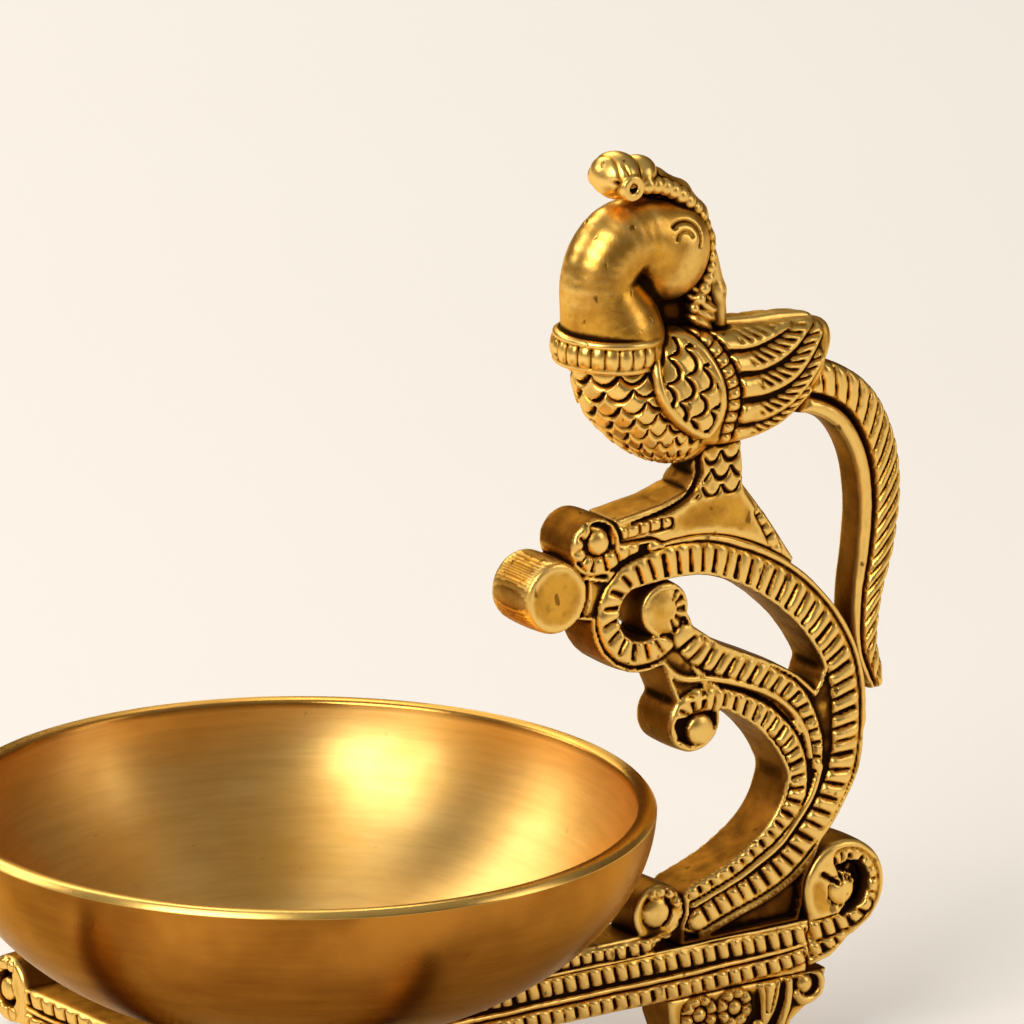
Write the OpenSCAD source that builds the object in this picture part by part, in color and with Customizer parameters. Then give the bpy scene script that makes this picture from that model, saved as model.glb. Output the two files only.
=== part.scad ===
// Brass diya oil lamp: a turned bowl on a cross-shaped cast base, with a
// scroll bracket and a bird at one end of the long beam.
// X runs along the long beam, Y along the cross beam, Z up.
// The origin is on the floor, under the bowl's axis. Millimetres.

/* [Bowl] */
// Outside diameter at the rim
bowl_d = 110; // [104:1:112]
// Depth of the outer half ellipsoid
bowl_depth = 34.7; // [33:0.1:35]
// Height of the rim above the floor
rim_z = 57; // [57:0.5:60]
// Width of the flat lip
lip_w = 3; // [2.5:0.1:3.5]
// Radius of the turned foot
bowl_foot_r = 19; // [17:0.5:19]

/* [Castings] */
// Thickness of the scroll bracket
bracket_t = 10; // [9:0.5:11]
// Thickness of both beams and their volutes
beam_t = 10; // [10:0.5:12]
// Thickness of the tail plume
tail_t = 6.5; // [5:0.5:8]
// Thickness of the bird's leg block
leg_t = 9; // [8:0.5:10]
// Thickness of the web at the bracket's foot
web_t = 6.4; // [6:0.2:8]

/* [Long beam] */
// Underside of the long beam
long_z0 = 13.5; // [13.5:0.5:14.5]
// Top of the two lower bands
long_z1 = 22.2; // [22.2:0.1:22.6]
// Top of the short upper band
long_z2 = 25.2; // [24.6:0.1:25.4]
// Distance from the centre to the right volute's axis
long_volute_x = 99.6; // [99:0.1:101]
// How much longer the left arm is, to balance the bird
left_extra = 3.3; // [3:0.1:3.6]
// Radius of the long beam's volutes
long_volute_r = 7.6; // [7:0.1:8]

/* [Cross beam] */
// Underside of the cross beam
cross_z0 = 2; // [1.5:0.1:2.5]
// Top of the cross beam
cross_z1 = 9.8; // [9:0.1:10.5]
// Distance from the centre to a volute's axis
cross_volute_y = 73; // [70:0.5:75]
// Height of a volute's axis
cross_volute_z = 8.3; // [8:0.1:9]
// Radius of the cross beam's volutes
cross_volute_r = 5.4; // [5:0.1:6]

/* [Fasteners] */
// Radius of the centre screw
screw_r = 2; // [1.8:0.1:2.2]
// Radius of the bracket and foot screws
bracket_screw_r = 1.5; // [1.3:0.1:1.6]
// Radius of the dowel under the bird
pin_r = 1.5; // [1.2:0.1:1.6]

/* [Hidden] */

BRASS = "goldenrod";
DARK_BRASS = "darkgoldenrod";
STEEL = "silver";
eps = 0.01;
steps = 5;
end_bulge = 0.06;

bowl_r = bowl_d / 2;
inner_depth = bowl_depth - 5.2;
foot_z = 23.3;
seat_floor_z = 23.2;
seat_z0 = 20.5;
seat_rim_z = 24.2;
seat_r = 21.5;
boss_r = 9;
upper_band_start = 27;
upper_band_end = 64;
scroll_c = [64.8, 28.3];
scroll_r = 4.6;
beam_end = 93;
foot_screw_x = [76, 83];
screw_head_r = 2.8;
screw_head_h = 2;
bird_pin_x = 76.5;
rump_c = [94.5, 107.7];
rump_tilt = 27;
rump_h = 24;

// Bracket curves as [x, z, width], from the curl outwards
arch = [
    [60, 84.4, 5.4], [67, 85.2, 6.4], [75, 84.4, 6.8], [83.4, 80.7, 7],
    [91, 74.8, 7], [97, 67.4, 6.8], [100, 60, 6.6], [100.5, 53, 6.4]
];
trunk = [
    [98.5, 60, 7], [97.5, 54, 11.5], [96.1, 47.5, 13.6], [93.8, 41.8, 12],
    [90.7, 37.3, 10.4], [86.9, 33.9, 9.6], [82.5, 31.4, 9], [78, 29.6, 8.4], [72, 27.8, 8]
];
inner_branch = [[69.5, 71.4, 5.6], [75, 67.2, 6], [82, 63.8, 6], [89, 60, 6], [94, 54.5, 6]];
lower_branch = [
    [71, 61.4, 3.6], [75, 61.6, 4], [79.5, 60.2, 4.6], [84.5, 57, 5.2],
    [88.6, 52.6, 5.4], [91.4, 47, 5]
];
ring_c = [61.8, 77.7];
ring_mid_r = 7.3;
ring_w = 5.2;
knob_c = [65.6, 77.3];
knob_r = 4.4;
curl_c = [71.2, 58.2];
curl_r = 4.9;
stub_c = [45, 82.9];
stub_r = 5.8;
top_curl_c = [52.6, 89.8];
top_curl_r = 4.6;

plume = [
    [88, 106.5, 7], [95, 107.2, 8.4], [101.3, 103.6, 8.4], [105.3, 97, 8], [106.8, 89, 7.4],
    [106.2, 80, 6.8], [104.8, 72, 5.6], [104.8, 64.5, 4.8], [106.2, 59.8, 4], [106.9, 57.9, 2.8],
    [107.2, 57.1, 0.8]
];

leg_outline = [
    [68, 104], [72, 101], [71.9, 97.7], [69.7, 95.2], [64.2, 93.6], [56, 92.4],
    [56, 88], [64, 82], [86, 78], [88, 83.4], [84.4, 89.8], [80.4, 95.2], [80.4, 104]
];

// Neck and head as [x, z, radius], from the collar to the brow
neck = [[58, 120, 7.8], [57.7, 127, 7.3], [59, 133, 7.1], [63.2, 136.8, 6.9], [69.6, 132.6, 6.4]];

function reversed(v) = [for (i = [len(v) - 1:-1:0]) v[i]];

// One span of a smooth curve through p1 and p2
function span(p0, p1, p2, p3, t) = 0.5 * (2 * p1 + (p2 - p0) * t
    + (2 * p0 - 5 * p1 + 4 * p2 - p3) * t * t
    + (3 * p1 - p0 - 3 * p2 + p3) * t * t * t);

function smooth(p) = [
    for (i = [0:len(p) - 2])
        for (k = [0:steps - 1])
            span(p[max(i - 1, 0)], p[i], p[i + 1], p[min(i + 2, len(p) - 1)], k / steps),
    p[len(p) - 1]
];

// The edge of a band, on side s of its middle line c
function edge(c, s) = [
    for (i = [0:len(c) - 1])
        let (a = c[max(i - 1, 0)], b = c[min(i + 1, len(c) - 1)])
        let (d = [b[0] - a[0], b[1] - a[1]] / norm([b[0] - a[0], b[1] - a[1]]))
        [c[i][0] - s * d[1] * c[i][2] / 2, c[i][1] + s * d[0] * c[i][2] / 2]
];

function half_ellipse(a, b, n) = [for (i = [0:n]) [a * cos(90 * i / n), -b * sin(90 * i / n)]];

// A strip of changing width along a smooth line
module ribbon(p) {
    c = smooth(p);
    polygon(concat(edge(c, 1), reversed(edge(c, -1))));
}

// A ribbon with round ends
module band(p) {
    ribbon(p);
    for (q = [p[0], p[len(p) - 1]])
        translate([q[0], q[1]])
            circle(d = q[2] + end_bulge, $fn = 32);
}

module disc(c, r) {
    translate(c)
        circle(r = r, $fn = 64);
}

// Stands an x, z outline upright, centred on y = 0
module plate(t) {
    rotate([90, 0, 0])
        linear_extrude(t, center = true)
            children();
}

// Turns a piece round to the opposite end
module left_side() {
    rotate([0, 0, 180])
        children();
}

module rod(r, z0, z1) {
    translate([0, 0, z0])
        cylinder(r = r, h = z1 - z0, $fn = 48);
}

module oil_bowl() {
    outer = [
        for (p = half_ellipse(bowl_r, bowl_depth, 36))
            if (p[0] > bowl_foot_r + 1) [p[0], p[1] + rim_z]
    ];
    inner = [for (p = half_ellipse(bowl_r - lip_w, inner_depth, 36)) [max(p[0], 0), p[1] + rim_z]];
    color(BRASS)
        rotate_extrude($fn = 128)
            polygon(concat(
                outer,
                [[bowl_foot_r, foot_z + 1], [bowl_foot_r, foot_z], [0, foot_z]],
                reversed(inner)
            ));
}

module bowl_seat() {
    color(DARK_BRASS)
        difference() {
            rod(seat_r, seat_z0, seat_rim_z);
            rod(bowl_foot_r + 0.4, seat_floor_z, seat_rim_z + 1);
            rod(screw_r + 0.15, seat_z0 - 1, seat_rim_z);
            translate([0, 0, seat_floor_z - 2])
                cylinder(r1 = screw_r + 0.1, r2 = screw_r + 2.3, h = 2 + eps, $fn = 48);
        }
}

module centre_screw() {
    color(STEEL) {
        rod(screw_r, 2.6, seat_floor_z - 2);
        translate([0, 0, seat_floor_z - 2.05])
            cylinder(r1 = screw_r, r2 = screw_r + 2, h = 2, $fn = 48);
    }
}

module centre_washer() {
    color(STEEL)
        difference() {
            rod(4.5, cross_z0 + 3.7, cross_z0 + 4.5);
            rod(screw_r + 0.15, cross_z0 + 3, cross_z0 + 5);
        }
}

module centre_nut() {
    color(STEEL)
        difference() {
            translate([0, 0, cross_z0 + 0.5])
                cylinder(r = 4.04, h = 3.2, $fn = 6);
            rod(screw_r, cross_z0, cross_z0 + 5);
        }
}

module beam_outline() {
    translate([-beam_end - left_extra, long_z0])
        square([2 * beam_end + left_extra, long_z1 - long_z0]);
    translate([upper_band_start, long_z1 - eps])
        square([upper_band_end - upper_band_start, long_z2 - long_z1 + eps]);
    disc(scroll_c, scroll_r);
}

module long_beam() {
    color(BRASS)
        difference() {
            union() {
                plate(beam_t)
                    beam_outline();
                rod(boss_r, long_z0, long_z1);
            }
            rod(seat_r + 0.05, seat_z0, long_z2 + 1);
            rod(screw_r + 0.15, long_z0 - 1, long_z2);
            for (x = concat(foot_screw_x, -foot_screw_x - [left_extra, left_extra]))
                translate([x, 0, 0])
                    rod(bracket_screw_r + 0.1, long_z0 - 1, long_z1 + 1);
        }
}

module cross_beam() {
    color(BRASS)
        difference() {
            union() {
                rotate([0, 0, 90])
                    plate(beam_t)
                        translate([-cross_volute_y + 4, cross_z0])
                            square([2 * cross_volute_y - 8, cross_z1 - cross_z0]);
                rod(boss_r, cross_z0, long_z0);
            }
            rod(screw_r + 0.15, cross_z0 - 1, long_z0 + 1);
            rod(5, cross_z0 - 1, cross_z0 + 4.5);
        }
}

module long_volute_outline() {
    disc([long_volute_x, long_z0 + 12.7], long_volute_r);
    polygon([
        [beam_end, long_z0 + 0.8], [beam_end + 4, long_z0 + 1.8], [long_volute_x + 5.2, long_z0 + 7.2],
        [long_volute_x, long_z0 + 12], [beam_end, long_z1]
    ]);
}

module long_volute() {
    plate(beam_t)
        long_volute_outline();
}

module cross_volute() {
    rotate([0, 0, 90])
        plate(beam_t)
            difference() {
                union() {
                    disc([cross_volute_y, cross_volute_z], cross_volute_r);
                    translate([cross_volute_y - 4, cross_z0 + 1.2])
                        square([4, cross_z1 - cross_z0 - 1.2]);
                }
                translate([cross_volute_y - 24, cross_z0 - 1])
                    square([20, cross_z1 - cross_z0 + 1]);
            }
}

module right_volute() {
    color(BRASS)
        long_volute();
}

module left_volute() {
    color(BRASS)
        left_side()
            translate([left_extra, 0, 0])
                long_volute();
}

module rear_volute() {
    color(BRASS)
        cross_volute();
}

module front_volute() {
    color(BRASS)
        left_side()
            cross_volute();
}

module long_foot() {
    difference() {
        plate(beam_t) {
            polygon([
                [66.5, long_z0], [66.8, 10], [68.6, 5], [70.6, 1.8], [72.4, 0], [86.6, 0],
                [88.4, 1.8], [90, 6], [93, 8], [95.6, 9.6], [96.8, long_z0]
            ]);
        }
        for (x = foot_screw_x)
            translate([x, 0, 0]) {
                rod(bracket_screw_r + 0.1, 1, long_z0 + 1);
                rod(screw_head_r + 0.2, -1, 4);
            }
    }
}

module right_foot() {
    color(BRASS)
        long_foot();
}

module left_foot() {
    color(BRASS)
        left_side()
            translate([left_extra, 0, 0])
                long_foot();
}

module cross_foot() {
    rotate([0, 0, 90])
        plate(beam_t)
            polygon([
                [42, cross_z0], [44, 0.4], [45, 0], [60, 0], [61, 0.4], [63, cross_z0]
            ]);
}

module rear_foot() {
    color(BRASS)
        cross_foot();
}

module front_foot() {
    color(BRASS)
        left_side()
            cross_foot();
}

module ring_outline() {
    band([
        for (a = [80:20:320])
            [ring_c[0] + ring_mid_r * cos(a), ring_c[1] + ring_mid_r * sin(a), ring_w]
    ]);
    disc(knob_c, knob_r);
    band([[67.6, 73.6, 4], [68.6, 70.6, 5]]);
}

module bracket_outline() {
    band(arch);
    band(trunk);
    band(inner_branch);
    band(lower_branch);
    ring_outline();
    disc(stub_c, stub_r);
    band([[45, 83, 6], [50, 82, 7], [54, 81, 7]]);
    disc(top_curl_c, top_curl_r);
    band([[52, 87.6, 4], [57.5, 87, 5], [63, 87.2, 4]]);
    disc(curl_c, curl_r);
    band([[67.6, 69, 5], [69, 66, 5.4], [71, 62, 6]]);
    polygon([[72, 64], [80, 61], [90, 54], [92, 57], [84, 63], [74, 67]]);
}

module bracket() {
    color(BRASS) difference() {
        union() {
            plate(bracket_t)
                bracket_outline();
            plate(web_t)
                polygon([
                    [68.5, long_z1], [90.5, long_z1], [95.5, 36], [90, 35], [80, 29], [68.5, 27]
                ]);
        }
        plate(bracket_t + 2) {
            disc([long_volute_x, long_z0 + 12.7], long_volute_r + 0.05);
            disc(scroll_c, scroll_r + 0.05);
            translate([60, long_z1 - 10])
                square([40, 10]);
        }
        for (x = foot_screw_x)
            translate([x, 0, 0])
                rod(bracket_screw_r, long_z1 - 1, 28.5);
        translate([bird_pin_x, 0, 0])
            rod(pin_r, 82, 90);
    }
}

module screw_pair(top) {
    for (x = foot_screw_x)
        translate([x, 0, 0]) {
            rod(bracket_screw_r, 4, top);
            rod(screw_head_r, 4 - screw_head_h, 4);
        }
}

module bracket_screws() {
    color(STEEL)
        screw_pair(28);
}

module left_foot_screws() {
    color(STEEL)
        left_side()
            translate([left_extra, 0, 0])
                screw_pair(long_z1 - 2);
}

// Cuts at the rump, where the tail is brazed on; side 1 is the tail's side
module rump_cut(side) {
    translate([rump_c[0], 0, rump_c[1]])
        rotate([0, rump_tilt, 0])
            translate([side > 0 ? 0 : -20, -20, -rump_h / 2])
                cube([20, 40, rump_h]);
}

module ball(p, y) {
    translate([p[0], y, p[1]])
        sphere(r = p[2], $fn = 28);
}

module bird_body() {
    hull() {
        ball([62.5, 112.6, 8.6], 0);
        ball([71, 109, 7], 3);
        ball([71, 109, 7], -3);
        ball([80, 111.5, 6], 0);
    }
    hull() {
        for (s = [-1, 1]) {
            ball([72, 112.5, 7], 3 * s);
            ball([90, 112, 4], 3 * s);
            ball([93.5, 117, 3.2], 2.5 * s);
        }
    }
}

module bird() {
    color(BRASS) difference() {
        union() {
            difference() {
                bird_body();
                rump_cut(1);
            }
            for (i = [0:len(neck) - 2])
                hull() {
                    ball(neck[i], 0);
                    ball(neck[i + 1], 0);
                }
            translate([57.8, 0, 120.2])
                rotate([0, -4, 0])
                    rotate_extrude($fn = 48)
                        translate([6.6, 0])
                            circle(r = 2.4, $fn = 24);
            hull() {
                ball([60, 148.4, 3.8], 0);
                ball([63, 144.6, 3], 0);
            }
            plate(5)
                polygon([[76.5, 134], [79.8, 129], [80.4, 120], [75.5, 119], [71, 126]]);
            plate(leg_t)
                polygon(leg_outline);
        }
        plate(leg_t + 2) {
            band(arch);
            disc(top_curl_c, top_curl_r);
            band([[52, 87.6, 4], [57.5, 87, 5], [63, 87.2, 4]]);
            polygon([[50, 70], [50, 90], [56, 89.4], [70, 86], [90, 76], [90, 60]]);
        }
        translate([bird_pin_x, 0, 0])
            rod(pin_r, 84, 97);
    }
}

module bird_pin() {
    color(STEEL)
        translate([bird_pin_x, 0, 0])
            rod(pin_r, 82, 97);
}

module tail() {
    color(BRASS) difference() {
        plate(tail_t)
            difference() {
                ribbon(plume);
                band(arch);
            }
        rump_cut(-1);
    }
}

oil_bowl();
bowl_seat();
centre_screw();
centre_washer();
centre_nut();
long_beam();
cross_beam();
right_volute();
left_volute();
front_volute();
rear_volute();
right_foot();
left_foot();
front_foot();
rear_foot();
bracket();
bracket_screws();
left_foot_screws();
bird();
bird_pin();
tail();
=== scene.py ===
import math

import bpy
import numpy as np
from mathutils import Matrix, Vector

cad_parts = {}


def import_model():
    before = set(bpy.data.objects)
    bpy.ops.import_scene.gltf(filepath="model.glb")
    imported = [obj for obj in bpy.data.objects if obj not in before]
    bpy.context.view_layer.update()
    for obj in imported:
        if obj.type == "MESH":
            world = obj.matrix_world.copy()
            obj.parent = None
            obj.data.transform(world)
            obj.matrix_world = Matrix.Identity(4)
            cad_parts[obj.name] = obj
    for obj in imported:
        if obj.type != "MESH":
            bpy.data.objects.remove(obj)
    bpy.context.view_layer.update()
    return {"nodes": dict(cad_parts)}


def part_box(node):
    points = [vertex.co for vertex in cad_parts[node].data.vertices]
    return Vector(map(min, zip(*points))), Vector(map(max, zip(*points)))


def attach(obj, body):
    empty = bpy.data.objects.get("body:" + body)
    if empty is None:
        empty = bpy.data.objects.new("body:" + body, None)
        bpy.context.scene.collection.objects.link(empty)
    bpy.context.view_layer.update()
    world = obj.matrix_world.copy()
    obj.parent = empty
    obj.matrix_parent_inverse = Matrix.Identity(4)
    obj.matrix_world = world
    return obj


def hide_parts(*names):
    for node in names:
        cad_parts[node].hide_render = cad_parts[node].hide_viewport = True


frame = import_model()

MM = 0.001

# Grid steps of the fields, in millimetres: the bracket, the other castings, the bird
STEP = 0.3
FINE = 0.27
FINEST = 0.22


def cad(node):
    """Lowest and highest corner of a CAD node, in millimetres."""
    low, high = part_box(node)
    return np.array(low) / MM, np.array(high) / MM


# ---------------------------------------------------------------- numbers and curves

def smooth_min(a, b, k):
    blend = np.clip(k - np.abs(a - b), 0, None) / k
    return np.minimum(a, b) - blend * blend * k / 4


def smooth_max(a, b, k):
    return -smooth_min(-a, -b, k)


def smooth_step(low, high, v):
    t = np.clip((v - low) / (high - low), 0, 1)
    return t * t * (3 - 2 * t)


def crown(t, power=2):
    """A rounded top over t from -1 to 1, which is 1 at 0 and 0 at both ends."""
    return np.sqrt(np.clip(1 - t**power, 0, 1))


def bell(v, centre, width):
    """A smooth hump that is 1 at its centre."""
    return np.exp(-((v - centre) / width)**2)


def off_whole(v):
    """How far a number is from the nearest whole one."""
    return v - np.round(v)


def noise2(a, b, cell, seed):
    """Smooth random values from -1 to 1 over a plane."""
    size = 64
    lattice = np.random.default_rng(seed).uniform(-1, 1, (size, size))
    i, j = a / cell, b / cell
    i0, j0 = np.floor(i).astype(int) % size, np.floor(j).astype(int) % size
    i1, j1 = (i0 + 1) % size, (j0 + 1) % size
    u, v = i - np.floor(i), j - np.floor(j)
    u, v = u * u * (3 - 2 * u), v * v * (3 - 2 * v)
    row0 = lattice[i0, j0] * (1 - u) + lattice[i1, j0] * u
    row1 = lattice[i0, j1] * (1 - u) + lattice[i1, j1] * u
    return row0 * (1 - v) + row1 * v


def curve(points, steps=6):
    """A smooth line through points of any number of values each."""
    p = np.array(points, float)
    p = np.vstack([2 * p[0] - p[1], p, 2 * p[-1] - p[-2]])
    t = np.linspace(0, 1, steps, endpoint=False)[:, None]
    spans = []
    for a, b, c, d in zip(p[:-3], p[1:-2], p[2:-1], p[3:]):
        spans.append(0.5 * (2 * b + (c - a) * t + (2 * a - 5 * b + 4 * c - d) * t**2
                            + (3 * b - a - 3 * c + d) * t**3))
    return np.vstack(spans + [p[-2][None]])


def arc(centre, radius, start, end, width, end_radius=None, end_width=None, count=24):
    """Points [x, z, width] on an arc or spiral, angles in degrees."""
    t = np.linspace(0, 1, count)
    angle = np.radians(start + (end - start) * t)
    r = radius + ((end_radius or radius) - radius) * t
    w = width + ((end_width or width) - width) * t
    return np.stack([centre[0] + r * np.cos(angle), centre[1] + r * np.sin(angle), w], 1)


def follow(path, gx, gz):
    """Distance from a line of [x, z, width], signed side, length along it and width there."""
    best = np.full(gx.shape, 1e9)
    side, along, width = np.zeros(gx.shape), np.zeros(gx.shape), np.zeros(gx.shape)
    run = 0.0
    for p, q in zip(path[:-1], path[1:]):
        dx, dz = q[0] - p[0], q[1] - p[1]
        length = math.hypot(dx, dz)
        if length < 1e-6:
            continue
        t = np.clip(((gx - p[0]) * dx + (gz - p[1]) * dz) / length**2, 0, 1)
        ox, oz = gx - p[0] - t * dx, gz - p[1] - t * dz
        square = ox * ox + oz * oz
        near = square < best
        best = np.where(near, square, best)
        side = np.where(near, (dx * oz - dz * ox) / length, side)
        along = np.where(near, run + t * length, along)
        width = np.where(near, p[2] + t * (q[2] - p[2]), width)
        run += length
    return np.sqrt(best), side, along, width


def inside_polygon(points, gx, gz):
    """Signed distance to a closed outline, negative inside."""
    p = np.array(points, float)
    best = np.full(gx.shape, 1e9)
    inside = np.zeros(gx.shape, bool)
    for a, b in zip(p, np.roll(p, -1, 0)):
        d = b - a
        t = np.clip(((gx - a[0]) * d[0] + (gz - a[1]) * d[1]) / (d @ d), 0, 1)
        best = np.minimum(best, (gx - a[0] - t * d[0])**2 + (gz - a[1] - t * d[1])**2)
        crosses = (a[1] > gz) != (b[1] > gz)
        cut = a[0] + (gz - a[1]) * d[0] / (d[1] if abs(d[1]) > 1e-9 else 1e-9)
        inside ^= crosses & (gx < cut)
    return np.where(inside, -1, 1) * np.sqrt(best)


# ---------------------------------------------------------------- surfaces from fields

def shift(index, axis, by):
    moved = index.copy()
    moved[:, axis] += by
    return moved


def sample(field, at):
    """Field values at points in grid units."""
    limit = np.array(field.shape) - 1.001
    at = np.clip(at, 0, limit)
    i = np.floor(at).astype(int)
    u = at - i
    total = 0
    for corner in np.ndindex(2, 2, 2):
        weight = np.prod(np.where(np.array(corner) == 1, u, 1 - u), 1)
        total = total + weight * field[i[:, 0] + corner[0], i[:, 1] + corner[1], i[:, 2] + corner[2]]
    return total


def surface_net(field):
    """Vertices in grid units and quads of the surface where the field is zero, negative inside."""
    inside = field < 0
    count = sum(inside[tuple(slice(c, n - 1 + c) for c, n in zip(corner, inside.shape))].astype(np.int8)
                for corner in np.ndindex(2, 2, 2))
    mixed = (count > 0) & (count < 8)
    cells = np.argwhere(mixed)
    index = np.full(mixed.shape, -1)
    index[mixed] = np.arange(len(cells))
    total, crossings = np.zeros((len(cells), 3)), np.zeros((len(cells), 1))
    quads = []
    for axis in range(3):
        b, c = (axis + 1) % 3, (axis + 2) % 3
        for ob, oc in np.ndindex(2, 2):
            offset = np.zeros(3, int)
            offset[b], offset[c] = ob, oc
            low = cells + offset
            high = shift(low, axis, 1)
            fa, fb = field[tuple(low.T)], field[tuple(high.T)]
            cross = (fa < 0) != (fb < 0)
            t = np.where(cross, fa / np.where(cross, fa - fb, 1), 0)
            point = np.repeat(offset[None].astype(float), len(cells), 0)
            point[:, axis] += t
            total += np.where(cross[:, None], point, 0)
            crossings += cross[:, None]
        ends = [slice(1, -1)] * 3
        ends[axis] = slice(0, -1)
        beyond = [slice(1, -1)] * 3
        beyond[axis] = slice(1, None)
        here, there = inside[tuple(ends)], inside[tuple(beyond)]
        start = np.ones(3, int)
        start[axis] = 0
        for out in (True, False):
            edges = np.argwhere(here & ~there if out else ~here & there) + start
            ring = [edges, shift(edges, b, -1), shift(shift(edges, b, -1), c, -1), shift(edges, c, -1)]
            quad = np.stack([index[tuple(r.T)] for r in ring], 1)
            quads.append(quad if out else quad[:, ::-1])
    return cells + total / crossings, np.vstack(quads)


def neighbour_mean(values, pairs, share):
    total = np.stack([np.bincount(pairs[:, 0], values[pairs[:, 1], k], len(values))
                      + np.bincount(pairs[:, 1], values[pairs[:, 0], k], len(values))
                      for k in range(values.shape[1])], 1)
    return total / share


def quad_normals(verts, quads):
    cross = np.cross(verts[quads[:, 2]] - verts[quads[:, 0]], verts[quads[:, 3]] - verts[quads[:, 1]])
    normals = np.stack([sum(np.bincount(quads[:, j], cross[:, k], len(verts)) for j in range(4))
                        for k in range(3)], 1)
    return normals / np.maximum(np.linalg.norm(normals, axis=1, keepdims=True), 1e-12)


def relaxed(verts, quads, field):
    """Evens the surface out while keeping it on the field's zero."""
    slopes = np.gradient(field)
    pairs = np.unique(np.sort(np.vstack([quads[:, [j, (j + 1) % 4]] for j in range(4)]), 1), axis=0)
    share = np.bincount(pairs.ravel(), minlength=len(verts))[:, None]
    for _ in range(3):
        verts = verts + 0.5 * (neighbour_mean(verts, pairs, share) - verts)
        for _ in range(2):
            slope = np.stack([sample(s, verts) for s in slopes], 1)
            length = np.maximum((slope**2).sum(1), 1e-6)
            move = (sample(field, verts) / length)[:, None] * slope
            verts = verts - np.clip(move, -0.4, 0.4)
    return verts, pairs, share


def hollows(verts, quads, pairs, share, step):
    """How deep in a hollow (positive) or proud on a ridge (negative) each vertex is, in mm."""
    normals = quad_normals(verts, quads)
    result = []
    for reach in (0.7, 1.9):
        smooth = verts
        for _ in range(max(2, int((reach / step)**2))):
            smooth = neighbour_mean(smooth, pairs, share)
        result.append(((smooth - verts) * normals).sum(1))
    return result


def make_mesh(name, verts, quads, fine, wide, brown_rough):
    mesh = bpy.data.meshes.new(name)
    mesh.vertices.add(len(verts))
    mesh.vertices.foreach_set("co", (verts * MM).astype(np.float32).ravel())
    mesh.loops.add(quads.size)
    mesh.loops.foreach_set("vertex_index", quads.astype(np.int32).ravel())
    mesh.polygons.add(len(quads))
    mesh.polygons.foreach_set("loop_start", np.arange(0, quads.size, 4, dtype=np.int32))
    mesh.update(calc_edges=True)
    mesh.shade_smooth()
    for key, values in (("fine", fine), ("wide", wide), ("brown_rough", brown_rough)):
        mesh.attributes.new(key, "FLOAT", "POINT").data.foreach_set("value", values.astype(np.float32))
    return mesh


def field_piece(name, field, low, step, brown_rough):
    """Mesh of a field sampled from the corner low in steps of step, in millimetres.
    The last argument gives how rough and brown each vertex is, from its place and normal: unpolished cast
    skin, and painted shade in the bird's throat."""
    verts, quads = surface_net(field)
    verts, pairs, share = relaxed(verts, quads, field)
    verts = verts * step + low
    fine, wide = hollows(verts, quads, pairs, share, step)
    return make_mesh(name, verts, quads, fine, wide, brown_rough(verts, quad_normals(verts, quads)))


def add_piece(name, mesh, material, nodes, body="frame", turn=0.0, move=0.0):
    obj = bpy.data.objects.new(name, mesh)
    bpy.context.scene.collection.objects.link(obj)
    obj.rotation_euler[2] = turn
    obj.location[0] = move * MM
    if not mesh.materials:
        mesh.materials.append(material)
    bpy.context.view_layer.update()
    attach(obj, body)
    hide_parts(*nodes)


# ---------------------------------------------------------------- flat castings

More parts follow.
